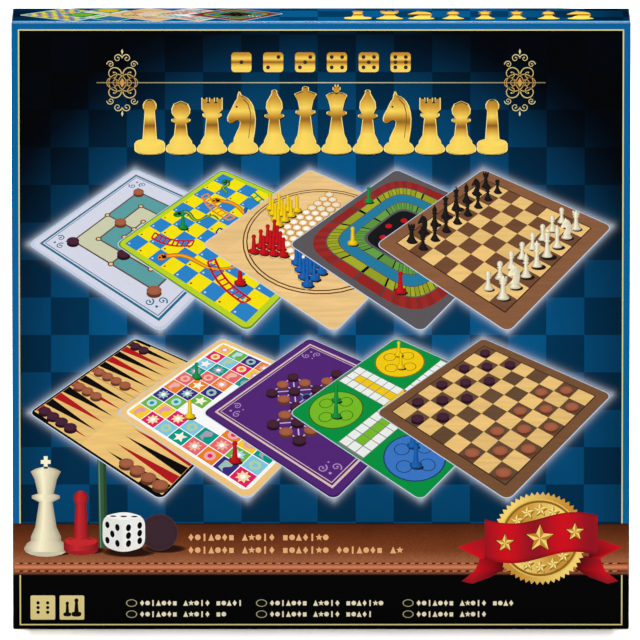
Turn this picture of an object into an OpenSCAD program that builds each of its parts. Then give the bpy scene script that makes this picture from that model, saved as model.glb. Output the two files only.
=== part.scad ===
// A games compendium. The box stands on its lower edge, as it does on a shop shelf, with
// its cover facing -Y. The full-depth lid slides off the base along -Y. Behind the lid
// stand a booklet and five play boards, and behind those an interlocking card insert
// makes fifteen compartments for chessmen, draughts, pawns, dice and pick-up sticks.
// Lengths are in millimetres. The origin is under the middle of the standing box.

/* [Box] */
// Width of the closed box, across its cover
box_w = 370; // [350:1:420]
// Height of the closed box, standing on its lower edge
box_h = 370; // [350:1:420]
// Thickness of the greyboard in the lid and the base
grey_t = 2; // [1.5:0.25:3]
// Thickness of the printed wrap paper
wrap_t = 0.2; // [0.1:0.05:0.4]
// Thickness of the glue line, which the corner tape fills
glue_t = 0.15; // [0.1:0.05:0.3]
// Width of the wrap that is turned in behind each rim
turn_in = 15; // [8:1:20]
// Break between two flaps of the wrap, where the paper is slit or creased
fold_gap = 0.05; // [0.02:0.01:0.1]
// Leg of the corner tape, on each side of a corner
tape_leg = 10; // [6:1:14]
// Gap between the lid and the base, on each side
fit_gap = 0.5; // [0.3:0.1:1]
// Gap between the base's rim and the inside of the lid's panel
rim_gap = 0.3; // [0.2:0.1:1]
// How much of the base shows behind the lid's rim
reveal = 2; // [0.5:0.5:6]
// Spare depth between the booklet and the inside of the lid
lid_play = 0.7; // [0.3:0.1:2]

/* [Play boards] */
// Thickness of the greyboard core of a play board
core_t = 1.7; // [1:0.1:3]
// Thickness of each printed face of a play board
face_t = 0.15; // [0.1:0.05:0.3]
// Corner radius of a play board
board_r = 12; // [4:1:25]
// Play between a play board and the base, on each side
board_play = 0.6; // [0.4:0.1:2]

/* [Booklet] */
// Width of the booklet
book_w = 140; // [100:1:200]
// Height of the booklet
book_h = 200; // [150:1:280]
// Thickness of the booklet's pages together
pages_t = 0.9; // [0.6:0.1:1.5]
// Thickness of the booklet's cover sheet
cover_t = 0.2; // [0.15:0.05:0.3]
// Length of a staple
staple_l = 12; // [8:1:16]
// Reach of a staple into the fold
staple_reach = 4; // [2:0.5:6]
// Distance of each staple from the booklet's end
staple_inset = 45; // [25:1:60]
// Thickness of the flat staple wire
wire_t = 0.4; // [0.3:0.05:0.5]

/* [Insert] */
// Thickness of the insert's card
card_t = 2; // [1:0.25:3]
// Clearance in the insert's half-lap slots, on each side
slot_gap = 0.1; // [0.05:0.05:0.3]
// Clearance between the insert and the base, on each side
insert_play = 0.3; // [0.2:0.1:0.9]
// Headroom above the kings
rank_head = 16; // [8:1:20]
// Headroom above the chess pawns
man_head = 18; // [8:1:22]

/* [Chessmen] */
// Height of a king
king_h = 64; // [58:1:70]
// Height of a queen
queen_h = 60; // [54:1:64]
// Height of a bishop
bishop_h = 52; // [46:1:57]
// Height of a knight
knight_h = 48; // [42:1:54]
// Height of a rook
rook_h = 42; // [38:1:48]
// Height of a chess pawn
man_h = 38; // [34:1:43]
// Base diameter of a king or queen
king_base = 24; // [21:0.5:25]
// Base diameter of a bishop or knight
bishop_base = 21; // [19:0.5:22.5]
// Base diameter of a rook
rook_base = 20; // [18:0.5:22]
// Base diameter of a chess pawn
man_base = 19; // [17:0.5:21]
// Height of the rounded foot of a chessman
foot_h = 5; // [3.5:0.5:6]
// Height of the second bead above the foot
step_h = 2.5; // [1.5:0.25:3.5]
// How far the second bead is set in from the foot
step_inset = 2; // [1:0.25:3]
// Diameter of the stem below the collar
neck_d = 8; // [6:0.5:9.5]
// Height of the collar below the head
collar_h = 2; // [1.5:0.25:3]
// Diameter of the collar of a tall chessman
collar_d = 15; // [13:0.5:17]
// Diameter of the collar of a chess pawn
man_collar_d = 12.5; // [11:0.5:14]
// Height of the crown of a king or queen
crown_h = 14; // [11:0.5:16]
// Diameter at the top of the crown
crown_d = 17; // [15:0.5:19]
// Height of the dome on the crown
dome_h = 3; // [2:0.25:4]
// Height of the cross above the dome
cross_h = 7; // [5:0.5:8]
// Thickness of the cross
cross_t = 2.4; // [1.5:0.1:3]
// Diameter of the ball on a queen
ball_d = 5; // [3.5:0.5:6]
// Diameter of the ball on a bishop
bead_d = 3.5; // [2.5:0.5:4.5]
// Height of the bishop's mitre
mitre_h = 17; // [14:0.5:19]
// Diameter of the bishop's mitre
mitre_d = 12.5; // [11:0.5:14]
// Height of the rook's tower
tower_h = 11; // [8:0.5:13]
// Diameter of the rook's tower
tower_d = 16; // [15:0.5:18]
// Wall of the rook's tower
tower_wall = 2.5; // [1.5:0.25:3]
// Depth of the notches in the tower and the coronet
notch = 3; // [2:0.25:4]
// Diameter of a chess pawn's head
man_ball_d = 11.5; // [10:0.5:13]
// Thickness of a knight's head at the neck
horse_t = 12; // [9:0.5:14]
// Length of a knight's head from nose to mane
horse_l = 17; // [14:0.5:18]

/* [Other pieces] */
// Diameter of a draughtsman
draught_d = 24; // [20:0.5:25]
// Thickness of a draughtsman
draught_t = 5.5; // [4:0.25:7]
// Width of the raised rim of a draughtsman
draught_rim = 2.4; // [1.5:0.1:3]
// Depth of the dish in a draughtsman
dish = 0.6; // [0.3:0.1:1]
// Height of a playing pawn
pawn_h = 25; // [21:0.5:32]
// Base diameter of a playing pawn
pawn_base = 14.4; // [12:0.1:16]
// Thickness of a playing pawn's base
pawn_foot = 2.6; // [2:0.1:4]
// Diameter of a playing pawn's head
pawn_ball_d = 7; // [6:0.25:9]
// Edge of a die
die_edge = 16; // [12:0.5:17]
// How far the corners of a die are rounded off
die_round = 2.7; // [2:0.1:3]
// Radius of a pip
pip_r = 1.4; // [1:0.1:1.6]
// Depth of a pip
pip_depth = 0.5; // [0.3:0.1:0.8]
// Length of a pick-up stick
stick_l = 170; // [120:1:175]
// Diameter of a pick-up stick
stick_d = 3; // [2:0.25:3.5]
// Length of a stick's point
stick_tip = 9; // [5:1:14]

/* [Hidden] */

// How finely true round surfaces are drawn, and in how many steps a turned curve goes
$fn = 48;
arc_steps = 6;

// What the wrap adds to the greyboard on one side, and the thickness of a covered wall
skin = glue_t + wrap_t;
wall_t = grey_t + 2 * skin;

// Gaps that keep stored things clear of what carries them
seat = 0.2;
stand = 0.3;
piece_gap = 0.5;
stack_gap = 0.1;
stick_gap = 0.3;
cell_spare = 0.5;

// A cut reaches this far past what it cuts
past = 1;

// How many of each piece stand beside and behind each other in a compartment
pawns_across = 5;
pawns_deep = 2;
stacks = 3;
stack_count = 5;
dice_across = 3;
dice_deep = 2;
dice_count = 5;
sticks_deep = 7;
play_boards = 5;
men = 8;

// Depth of the compartments, and of the whole box
board_t = core_t + 2 * face_t;
book_t = pages_t + 2 * cover_t;
draught_pitch = draught_d + piece_gap;
pawn_pitch = pawn_base + piece_gap;
die_pitch = die_edge + piece_gap;
stick_pitch = stick_d + stick_gap;
cell_d = cell_spare + max(pawns_deep * pawn_pitch, dice_deep * die_pitch,
    king_base + piece_gap, draught_pitch);
box_d = 2 * (skin + grey_t) + cell_d + play_boards * board_t + book_t
    + (play_boards + 2) * seat + lid_play;
lid_d = box_d - reveal;

// Outer size of the base, and the clear space inside its turned-in rim
base_w = box_w - 2 * (wall_t + fit_gap);
base_h = box_h - 2 * (wall_t + fit_gap);
base_d = box_d - skin - grey_t - rim_gap;
clear_w = base_w - 2 * wall_t;
clear_h = base_h - 2 * wall_t;
stand_z = (box_h - clear_h) / 2 + stand;

// The insert reaches from wall to wall and lies against the base's panel
insert_w = clear_w - 2 * insert_play;
insert_h = clear_h - 2 * insert_play;
insert_x0 = -insert_w / 2;
insert_z0 = (box_h - insert_h) / 2;
insert_y1 = box_d / 2 - skin - grey_t - seat;
insert_y0 = insert_y1 - cell_d;
cell_y = (insert_y0 + insert_y1) / 2;

// Columns of the insert from left to right, and its rows from the bottom up
side_col = piece_gap + max(pawns_across * pawn_pitch, stacks * draught_pitch,
    dice_across * die_pitch);
col_w = [insert_w - 2 * (side_col + card_t), side_col, side_col];
rank_row = king_h + rank_head;
man_row = man_h + man_head;
row_h = [rank_row, man_row, rank_row, man_row];
function sum_to(list, n) = n <= 0 ? 0 : list[n - 1] + sum_to(list, n - 1);
function col_x(c) = insert_x0 + sum_to(col_w, c) + c * card_t;
function col_mid(c) = col_x(c) + col_w[c] / 2;
function row_z(r) = insert_z0 + sum_to(row_h, r) + r * card_t;
function floor_z(r) = r == 0 ? stand_z : row_z(r) + stand;

// Play boards stand on the lower wall, one in front of the other
board_w = clear_w - 2 * board_play;
board_h = clear_h - 2 * board_play;
function board_y1(k) = insert_y0 - seat - (k - 1) * (board_t + seat);
book_y1 = board_y1(play_boards + 1);
book_z = stand_z + book_h / 2;
wire_gap = 0.03;

// The back rank of a chess side, from left to right
rank = ["rook", "knight", "bishop", "queen", "king", "bishop", "knight", "rook"];
function base_of(kind) = kind == "rook" ? rook_base
    : kind == "knight" || kind == "bishop" ? bishop_base
    : king_base;
rank_bases = [for (kind = rank) base_of(kind)];
rank_space = (col_w[0] - sum_to(rank_bases, len(rank))) / (len(rank) + 1);
function rank_x(i) = col_x(0) + (i + 1) * rank_space + sum_to(rank_bases, i) + rank_bases[i] / 2;
function man_x(i) = col_x(0) + (i + 0.5) * col_w[0] / men;

// Where the pips of each face of a die lie, in steps from the middle of the face
pip_step = die_edge / 4;
one = [[0, 0]];
two = [[-1, -1], [1, 1]];
four = [[-1, -1], [1, 1], [-1, 1], [1, -1]];
six = concat(four, [[-1, 0], [1, 0]]);
pip_faces = [[[0, 0, 0], one], [[0, 180, 0], six], [[0, 90, 0], two],
    [[0, -90, 0], concat(one, four)], [[90, 0, 0], concat(one, two)], [[-90, 0, 0], four]];
die_turns = [[0, 0, 0], [90, 0, 0], [0, 90, 0], [0, 0, 90], [-90, 0, 0]];

// Side outline of a knight's head, as shares of its length and height, nose towards -X
horse_side = [[-0.34, 0], [-0.3, 0.12], [-0.14, 0.28], [-0.08, 0.4], [-0.14, 0.47], [-0.36, 0.44],
    [-0.47, 0.48], [-0.5, 0.56], [-0.43, 0.64], [-0.2, 0.8], [-0.14, 0.88], [-0.1, 1], [0.02, 0.91],
    [0.2, 0.86], [0.37, 0.72], [0.47, 0.52], [0.5, 0.3], [0.42, 0.1], [0.42, 0]];
// Front outline of the head, as shares of its thickness and height
horse_front = [[-0.5, 0], [-0.46, 0.35], [-0.3, 0.75], [-0.26, 1], [0.26, 1], [0.3, 0.75],
    [0.46, 0.35], [0.5, 0]];

grey = "#8d8a83";
print_blue = "#024a80";
print_black = "#101318";
card_blue = "#1b3f66";
paper = "#e9e4d6";
steel = "#b9bcc0";
ivory = "#efe6c4";
ebony = "#1c1a19";
red = "#c8202a";
yellow = "#f0c01c";
green = "#1f9a48";
blue = "#1f5fb4";

// Shared shapes

module block(low, high) {
    translate(low) cube(high - low);
}

// An arc of a turned outline
function arc(centre, r, from, to) = [for (i = [0:arc_steps])
    let (a = from + (to - from) * i / arc_steps) centre + r * [cos(a), sin(a)]];

// A half-round bead of outer radius r from height z up to z + h
function bead(r, z, h) = arc([r - h / 2, z + h / 2], h / 2, -90, 90);

// A curve that leaves the low point flat and reaches the high point upright
function flare(low, high) = [for (i = [1:arc_steps]) let (t = 90 * i / arc_steps)
    [high[0] + (low[0] - high[0]) * (1 - sin(t)), low[1] + (high[1] - low[1]) * (1 - cos(t))]];

// A curve that leaves the low point upright and opens out to the high point
function bell(low, high) = [for (i = [0:arc_steps]) let (t = 90 * i / arc_steps)
    [low[0] + (high[0] - low[0]) * (1 - cos(t)), low[1] + (high[1] - low[1]) * sin(t)]];

module turned(outline) {
    rotate_extrude() polygon(outline);
}

// The lid and the base are drawn alike: panel at y = 0, rim towards +Y, centred in X and Z

module panel_board(w, h) {
    block([skin - w / 2, skin, skin - h / 2], [w / 2 - skin, skin + grey_t, h / 2 - skin]);
}

module low_wall(w, h, d) {
    block([skin - w / 2, skin + grey_t, skin - h / 2],
        [w / 2 - skin, d - skin, skin + grey_t - h / 2]);
}

module left_wall(w, h, d) {
    side_h = h / 2 - skin - grey_t;
    block([skin - w / 2, skin + grey_t, -side_h], [skin + grey_t - w / 2, d - skin, side_h]);
}

// The lower flap of the wrap, with its full-width rim and its turned-in edge
module low_flap(w, h, d) {
    in_w = w / 2 - wall_t;
    in_h = h / 2 - wall_t;
    block([-w / 2, wrap_t + fold_gap, -h / 2], [w / 2, d, wrap_t - h / 2]);
    block([-w / 2, d - wrap_t, -h / 2], [w / 2, d, -in_h]);
    block([-in_w, d - turn_in, -in_h - wrap_t], [in_w, d, -in_h]);
}

// The left flap, which ends against the lower and the upper flap
module left_flap(w, h, d) {
    in_w = w / 2 - wall_t;
    in_h = h / 2 - wall_t - fold_gap;
    side_h = h / 2 - wrap_t - fold_gap;
    block([-w / 2, wrap_t + fold_gap, -side_h], [wrap_t - w / 2, d - wrap_t - fold_gap, side_h]);
    block([-w / 2, d - turn_in, -in_h], [wrap_t - w / 2, d, in_h]);
    block([-w / 2, d - wrap_t, -in_h], [-in_w, d, in_h]);
    block([-in_w - wrap_t, d - turn_in, -in_h], [-in_w, d, in_h]);
}

// One sheet of paper, as a panel and four flaps that are parted along the creases
module wrap(w, h, d) {
    block([-w / 2, 0, -h / 2], [w / 2, wrap_t, h / 2]);
    for (side = [0, 1]) {
        mirror([0, 0, side]) low_flap(w, h, d);
        mirror([side, 0, 0]) left_flap(w, h, d);
    }
}

// Paper tape folded round each corner, in the glue line under the wrap
module corner_tapes(w, h, d) {
    corner = [wrap_t - w / 2, skin, wrap_t - h / 2];
    for (side_x = [0, 1], side_z = [0, 1])
        mirror([side_x, 0, 0]) mirror([0, 0, side_z]) {
            block(corner, corner + [tape_leg, d - 2 * skin, glue_t]);
            block(corner, corner + [glue_t, d - 2 * skin, tape_leg]);
        }
}

module lid_place() {
    translate([0, -box_d / 2, box_h / 2]) children();
}

module base_place() {
    translate([0, box_d / 2, box_h / 2]) mirror([0, 1, 0]) children();
}

// Lid

module lid_front_board() {
    color(grey) lid_place() panel_board(box_w, box_h);
}

module lid_bottom_wall() {
    color(grey) lid_place() low_wall(box_w, box_h, lid_d);
}

module lid_top_wall() {
    color(grey) lid_place() mirror([0, 0, 1]) low_wall(box_w, box_h, lid_d);
}

module lid_left_wall() {
    color(grey) lid_place() left_wall(box_w, box_h, lid_d);
}

module lid_right_wall() {
    color(grey) lid_place() mirror([1, 0, 0]) left_wall(box_w, box_h, lid_d);
}

module lid_wrap() {
    color(print_blue) lid_place() wrap(box_w, box_h, lid_d);
}

module lid_corner_tapes() {
    color(paper) lid_place() corner_tapes(box_w, box_h, lid_d);
}

// Base

module base_back_board() {
    color(grey) base_place() panel_board(base_w, base_h);
}

module base_bottom_wall() {
    color(grey) base_place() low_wall(base_w, base_h, base_d);
}

module base_top_wall() {
    color(grey) base_place() mirror([0, 0, 1]) low_wall(base_w, base_h, base_d);
}

module base_left_wall() {
    color(grey) base_place() left_wall(base_w, base_h, base_d);
}

module base_right_wall() {
    color(grey) base_place() mirror([1, 0, 0]) left_wall(base_w, base_h, base_d);
}

module base_wrap() {
    color(print_black) base_place() wrap(base_w, base_h, base_d);
}

module base_corner_tapes() {
    color(paper) base_place() corner_tapes(base_w, base_h, base_d);
}

// Insert: shelves are slotted from the front and uprights from the back

module insert_shelf(r) {
    color(card_blue) difference() {
        block([insert_x0, insert_y0, row_z(r) - card_t],
            [insert_x0 + insert_w, insert_y1, row_z(r)]);
        for (c = [1, 2])
            block([col_x(c) - card_t - slot_gap, insert_y0 - past, row_z(r) - card_t - past],
                [col_x(c) + slot_gap, cell_y + slot_gap, row_z(r) + past]);
    }
}

module insert_upright(c) {
    color(card_blue) difference() {
        block([col_x(c) - card_t, insert_y0, insert_z0],
            [col_x(c), insert_y1, insert_z0 + insert_h]);
        for (r = [1:len(row_h)])
            block([col_x(c) - card_t - past, cell_y, row_z(r) - card_t - slot_gap],
                [col_x(c) + past, insert_y1 + past, row_z(r) + slot_gap]);
    }
}

// Play boards: a greyboard core with a printed sheet on each side

module board_sheet(y1, t) {
    flat_w = board_w / 2 - board_r;
    flat_h = board_h / 2 - board_r;
    translate([0, y1, stand_z + board_h / 2]) rotate([90, 0, 0]) linear_extrude(t) {
        square([board_w, 2 * flat_h], center = true);
        square([2 * flat_w, board_h], center = true);
        for (side_x = [-1, 1], side_z = [-1, 1])
            translate([side_x * flat_w, side_z * flat_h]) circle(board_r);
    }
}

module play_board(k) {
    color(grey) board_sheet(board_y1(k) - face_t, core_t);
}

module board_prints(k) {
    color(["#8a5a2b", "#e3e6ea", "#e8c33a", "#5a3f86", "#a9262b"][k - 1]) {
        board_sheet(board_y1(k), face_t);
        board_sheet(board_y1(k) - face_t - core_t, face_t);
    }
}

// Booklet: a folded cover, the pages inside it, and two staples through the fold

module staple_legs(gap) {
    for (side = [-1, 1], end = [-1, 1])
        translate([-book_w / 2, book_y1 - book_t / 2, book_z + side * (book_h / 2 - staple_inset)
            + end * (staple_l - wire_t) / 2])
            block([-wire_t, -wire_t / 2 - gap, -wire_t / 2 - gap],
                [staple_reach, wire_t / 2 + gap, wire_t / 2 + gap]);
}

module booklet_cover() {
    color(print_blue) difference() {
        block([-book_w / 2, book_y1 - book_t, stand_z],
            [book_w / 2, book_y1, stand_z + book_h]);
        block([cover_t - book_w / 2, book_y1 - book_t + cover_t, stand_z - past],
            [book_w / 2 + past, book_y1 - cover_t, stand_z + book_h + past]);
        staple_legs(wire_gap);
    }
}

module booklet_pages() {
    color(paper) difference() {
        block([cover_t - book_w / 2, book_y1 - book_t + cover_t, stand_z],
            [book_w / 2, book_y1 - cover_t, stand_z + book_h]);
        staple_legs(wire_gap);
    }
}

module booklet_staples() {
    color(steel) {
        staple_legs(0);
        for (side = [-1, 1])
            translate([-book_w / 2, book_y1 - book_t / 2,
                book_z + side * (book_h / 2 - staple_inset)])
                block([-wire_t, -wire_t / 2, -staple_l / 2], [0, wire_t / 2, staple_l / 2]);
    }
}

// Chessmen stand with their feet at z = 0

function stem(base_d, collar_z) = concat([[0, 0]], bead(base_d / 2, 0, foot_h),
    bead(base_d / 2 - step_inset, foot_h, step_h),
    flare([base_d / 2 - step_inset - step_h / 2, foot_h + step_h], [neck_d / 2, collar_z]));

function crown(collar_z) = concat(bead(collar_d / 2, collar_z, collar_h),
    bell([neck_d / 2, collar_z + collar_h], [crown_d / 2, collar_z + collar_h + crown_h]));

// The dome on a crown, which ends on the axis
function dome(z) = [for (i = [0:arc_steps]) let (t = 90 * i / arc_steps)
    [(crown_d / 2 - 1) * cos(t), z + dome_h * sin(t)]];

module king() {
    crown_z = king_h - cross_h - dome_h;
    collar_z = crown_z - crown_h - collar_h;
    turned(concat(stem(king_base, collar_z), crown(collar_z), dome(crown_z)));
    block([-cross_t / 2, -cross_t / 2, crown_z], [cross_t / 2, cross_t / 2, king_h]);
    block([-cross_h / 2, -cross_t / 2, king_h - cross_h / 2 - cross_t / 2],
        [cross_h / 2, cross_t / 2, king_h - cross_h / 2 + cross_t / 2]);
}

module queen() {
    crown_z = queen_h - dome_h - ball_d * 0.8;
    collar_z = crown_z - crown_h - collar_h;
    difference() {
        turned(concat(stem(king_base, collar_z), crown(collar_z), dome(crown_z)));
        for (i = [0:7])
            rotate([0, 0, i * 45]) translate([crown_d / 2, 0, crown_z]) sphere(notch / 2);
    }
    translate([0, 0, queen_h - ball_d / 2]) sphere(d = ball_d);
}

module bishop() {
    mitre_z = bishop_h - bead_d * 0.8 - mitre_h;
    collar_z = mitre_z - collar_h;
    mitre = [for (i = [0:arc_steps * 2]) let (t = i / (arc_steps * 2))
        [mitre_d / 2 * sin(45 + 135 * t), mitre_z + mitre_h * t]];
    difference() {
        turned(concat(stem(bishop_base, collar_z), bead(collar_d / 2, collar_z, collar_h), mitre));
        translate([0, 0, mitre_z + mitre_h * 0.55]) rotate([0, -40, 0])
            block([0, -mitre_d, -0.6], [mitre_d, mitre_d, 0.6]);
    }
    translate([0, 0, bishop_h - bead_d / 2]) sphere(d = bead_d);
}

module rook() {
    tower_z = rook_h - tower_h;
    collar_z = tower_z - collar_h;
    difference() {
        turned(concat(stem(rook_base, collar_z), bead(collar_d / 2, collar_z, collar_h),
            bell([neck_d / 2, tower_z], [tower_d / 2, tower_z + tower_h / 3]),
            [[tower_d / 2, rook_h], [tower_d / 2 - tower_wall, rook_h],
                [tower_d / 2 - tower_wall, rook_h - notch], [0, rook_h - notch]]));
        for (i = [0:2])
            rotate([0, 0, i * 60])
                block([-tower_d, -notch / 2, rook_h - notch], [tower_d, notch / 2, rook_h + past]);
    }
}

module man() {
    ball_z = man_h - man_ball_d / 2;
    collar_z = ball_z - man_ball_d / 2 * sin(50) - collar_h;
    turned(concat(stem(man_base, collar_z), bead(man_collar_d / 2, collar_z, collar_h),
        arc([0, ball_z], man_ball_d / 2, -50, 90)));
}

module knight() {
    neck_z = foot_h + step_h;
    head_h = knight_h - neck_z;
    turned(concat([[0, 0]], bead(bishop_base / 2, 0, foot_h),
        bead(bishop_base / 2 - step_inset, foot_h, step_h), [[0, neck_z]]));
    intersection() {
        rotate([90, 0, 0]) linear_extrude(horse_t, center = true)
            polygon([for (p = horse_side) [p[0] * horse_l, foot_h + step_h / 2
                + p[1] * (head_h + step_h / 2)]]);
        rotate([90, 0, 90]) linear_extrude(2 * horse_l, center = true)
            polygon([for (p = horse_front) [p[0] * horse_t, foot_h + step_h / 2
                + p[1] * (head_h + step_h / 2)]]);
    }
}

// Puts one kind of chessman at each of its places in a back rank
module in_rank(kind, r) {
    for (i = [0:len(rank) - 1])
        if (rank[i] == kind) translate([rank_x(i), cell_y, floor_z(r)]) children();
}

module men_row(r) {
    for (i = [0:men - 1])
        translate([man_x(i), cell_y, floor_z(r)]) man();
}

// Draughtsmen lie flat in three stacks of five

module draught() {
    r = draught_d / 2;
    inner = r - draught_rim;
    turned(concat([[0, dish], [inner - dish, dish], [inner, 0]],
        arc([r - dish, dish], dish, -90, 0), arc([r - dish, draught_t - dish], dish, 0, 90),
        [[inner, draught_t], [inner - dish, draught_t - dish], [0, draught_t - dish]]));
}

module draughts(c, r) {
    for (i = [0:stacks - 1], j = [0:stack_count - 1])
        translate([col_mid(c) + (i - (stacks - 1) / 2) * draught_pitch, cell_y,
            floor_z(r) + j * (draught_t + stack_gap)]) draught();
}

// Playing pawns stand in two rows of five

module playing_pawn() {
    ball_z = pawn_h - pawn_ball_d / 2;
    neck_r = pawn_ball_d / 2 * cos(50);
    turned(concat([[0, 0]], bead(pawn_base / 2, 0, pawn_foot),
        flare([pawn_base / 2 - pawn_foot / 2, pawn_foot],
            [neck_r, ball_z - pawn_ball_d / 2 * sin(50)]),
        arc([0, ball_z], pawn_ball_d / 2, -50, 90)));
}

module playing_pawns(c, r) {
    for (i = [0:pawns_across - 1], j = [0:pawns_deep - 1])
        translate([col_mid(c) + (i - (pawns_across - 1) / 2) * pawn_pitch,
            cell_y + (j - (pawns_deep - 1) / 2) * pawn_pitch, floor_z(r)]) playing_pawn();
}

// Dice with rounded corners and hollow pips

module die() {
    pip_ball = (pip_r * pip_r + pip_depth * pip_depth) / (2 * pip_depth);
    difference() {
        intersection() {
            cube(die_edge, center = true);
            sphere(die_edge * sqrt(3) / 2 - die_round);
        }
        for (face = pip_faces, p = face[1])
            rotate(face[0])
                translate([p[0] * pip_step, p[1] * pip_step, die_edge / 2 + pip_ball - pip_depth])
                    sphere(pip_ball);
    }
}

// Pick-up sticks lie across the wide top compartment, one colour to a layer

module sticks(layer) {
    r = stick_d / 2;
    for (j = [0:sticks_deep - 1])
        translate([col_mid(0) - stick_l / 2, cell_y + (j - (sticks_deep - 1) / 2) * stick_pitch,
            floor_z(len(row_h)) + r + layer * stick_pitch])
            rotate([0, 90, 0]) turned([[0, 0], [r, stick_tip], [r, stick_l - stick_tip],
                [0, stick_l]]);
}

module insert_shelf_1() { insert_shelf(1); }
module insert_shelf_2() { insert_shelf(2); }
module insert_shelf_3() { insert_shelf(3); }
module insert_shelf_4() { insert_shelf(4); }
module insert_upright_1() { insert_upright(1); }
module insert_upright_2() { insert_upright(2); }

module play_board_1() { play_board(1); }
module play_board_2() { play_board(2); }
module play_board_3() { play_board(3); }
module play_board_4() { play_board(4); }
module play_board_5() { play_board(5); }
module board_prints_1() { board_prints(1); }
module board_prints_2() { board_prints(2); }
module board_prints_3() { board_prints(3); }
module board_prints_4() { board_prints(4); }
module board_prints_5() { board_prints(5); }

module white_king() { color(ivory) in_rank("king", 0) king(); }
module white_queen() { color(ivory) in_rank("queen", 0) queen(); }
module white_bishops() { color(ivory) in_rank("bishop", 0) bishop(); }
module white_knights() { color(ivory) in_rank("knight", 0) knight(); }
module white_rooks() { color(ivory) in_rank("rook", 0) rook(); }
module white_pawns() { color(ivory) men_row(1); }
module black_king() { color(ebony) in_rank("king", 2) king(); }
module black_queen() { color(ebony) in_rank("queen", 2) queen(); }
module black_bishops() { color(ebony) in_rank("bishop", 2) bishop(); }
module black_knights() { color(ebony) in_rank("knight", 2) knight(); }
module black_rooks() { color(ebony) in_rank("rook", 2) rook(); }
module black_pawns() { color(ebony) men_row(3); }

module light_draughts() { color("#a4583a") draughts(1, 0); }
module dark_draughts() { color("#2c1a22") draughts(2, 0); }

module red_pawns() { color(red) playing_pawns(1, 1); }
module yellow_pawns() { color(yellow) playing_pawns(2, 1); }
module green_pawns() { color(green) playing_pawns(1, 2); }
module blue_pawns() { color(blue) playing_pawns(2, 2); }
module ebony_pawns() { color(ebony) playing_pawns(1, 3); }
module ivory_pawns() { color(ivory) playing_pawns(2, 3); }

module dice() {
    color("#f4f1ea")
        for (n = [0:dice_count - 1])
            translate([col_mid(1) + (n % dice_across - (dice_across - 1) / 2) * die_pitch,
                cell_y + (floor(n / dice_across) - (dice_deep - 1) / 2) * die_pitch,
                floor_z(len(row_h)) + die_edge / 2])
                rotate(die_turns[n]) die();
}

module red_sticks() { color(red) sticks(0); }
module yellow_sticks() { color(yellow) sticks(1); }
module green_sticks() { color(green) sticks(2); }
module blue_sticks() { color(blue) sticks(3); }

lid_front_board();
lid_top_wall();
lid_bottom_wall();
lid_left_wall();
lid_right_wall();
lid_wrap();
lid_corner_tapes();
base_back_board();
base_top_wall();
base_bottom_wall();
base_left_wall();
base_right_wall();
base_wrap();
base_corner_tapes();
insert_shelf_1();
insert_shelf_2();
insert_shelf_3();
insert_shelf_4();
insert_upright_1();
insert_upright_2();
play_board_1();
play_board_2();
play_board_3();
play_board_4();
play_board_5();
board_prints_1();
board_prints_2();
board_prints_3();
board_prints_4();
board_prints_5();
booklet_cover();
booklet_pages();
booklet_staples();
white_king();
white_queen();
white_bishops();
white_knights();
white_rooks();
white_pawns();
black_king();
black_queen();
black_bishops();
black_knights();
black_rooks();
black_pawns();
light_draughts();
dark_draughts();
red_pawns();
yellow_pawns();
green_pawns();
blue_pawns();
ebony_pawns();
ivory_pawns();
dice();
red_sticks();
yellow_sticks();
green_sticks();
blue_sticks();
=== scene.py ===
"""The looks of a standing games compendium: printed lid and base, play boards, booklet, card insert
and playing pieces. Lengths are millimetres and are turned into metres where a mesh is made."""

import math
import random

import bmesh
import bpy
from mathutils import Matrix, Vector


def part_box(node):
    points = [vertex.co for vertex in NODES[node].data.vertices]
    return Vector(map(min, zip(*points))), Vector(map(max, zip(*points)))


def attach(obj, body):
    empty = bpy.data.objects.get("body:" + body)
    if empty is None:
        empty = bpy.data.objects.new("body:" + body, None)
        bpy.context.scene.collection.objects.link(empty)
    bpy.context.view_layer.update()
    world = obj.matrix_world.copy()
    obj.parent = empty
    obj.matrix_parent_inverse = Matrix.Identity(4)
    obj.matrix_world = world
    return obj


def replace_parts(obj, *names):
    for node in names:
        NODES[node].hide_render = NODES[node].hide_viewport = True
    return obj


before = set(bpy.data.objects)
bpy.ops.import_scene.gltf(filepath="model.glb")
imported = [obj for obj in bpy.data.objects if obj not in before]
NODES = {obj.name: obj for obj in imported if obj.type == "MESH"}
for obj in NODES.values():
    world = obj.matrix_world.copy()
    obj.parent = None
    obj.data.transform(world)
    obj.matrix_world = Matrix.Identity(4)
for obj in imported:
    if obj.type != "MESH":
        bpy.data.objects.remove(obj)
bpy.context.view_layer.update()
MM = 0.001


def box_mm(node):
    low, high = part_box(node)
    return [v / MM for v in low], [v / MM for v in high]


# Sizes that the frame gives
LID_LOW, LID_HIGH = box_mm("lid_wrap")
BASE_LOW, BASE_HIGH = box_mm("base_wrap")
HALF_W = (LID_HIGH[0] - LID_LOW[0]) / 2
BOX_H = LID_HIGH[2]

# The wrap: roundness of its folded edges, covered wall, turned-in edge
FOLD_R = 1.1
RIM_R = 0.6
WALL_T = 2.7
TURN_IN = 15.0
PAPER_LIP = 0.3
EDGE_W = 4.6
LID_CELL = 1.5
BASE_CELL = 4.0
WALL_CELL = 4.0

# Bands of the cover, as heights above its lower edge
FOOT_TOP = 33.4
LEATHER_TOP = 64.9
CHECK_PITCH = 22.8
CHECK_X = 20.8
CHECK_Z = 20.3
CHECK_Y = 9.0


# Directions, and the object's faces as seen from outside
RIGHT, LEFT, BACKWARD, FORWARD, UP = (1, 0, 0), (-1, 0, 0), (0, 1, 0), (0, -1, 0), (0, 0, 1)


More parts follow.
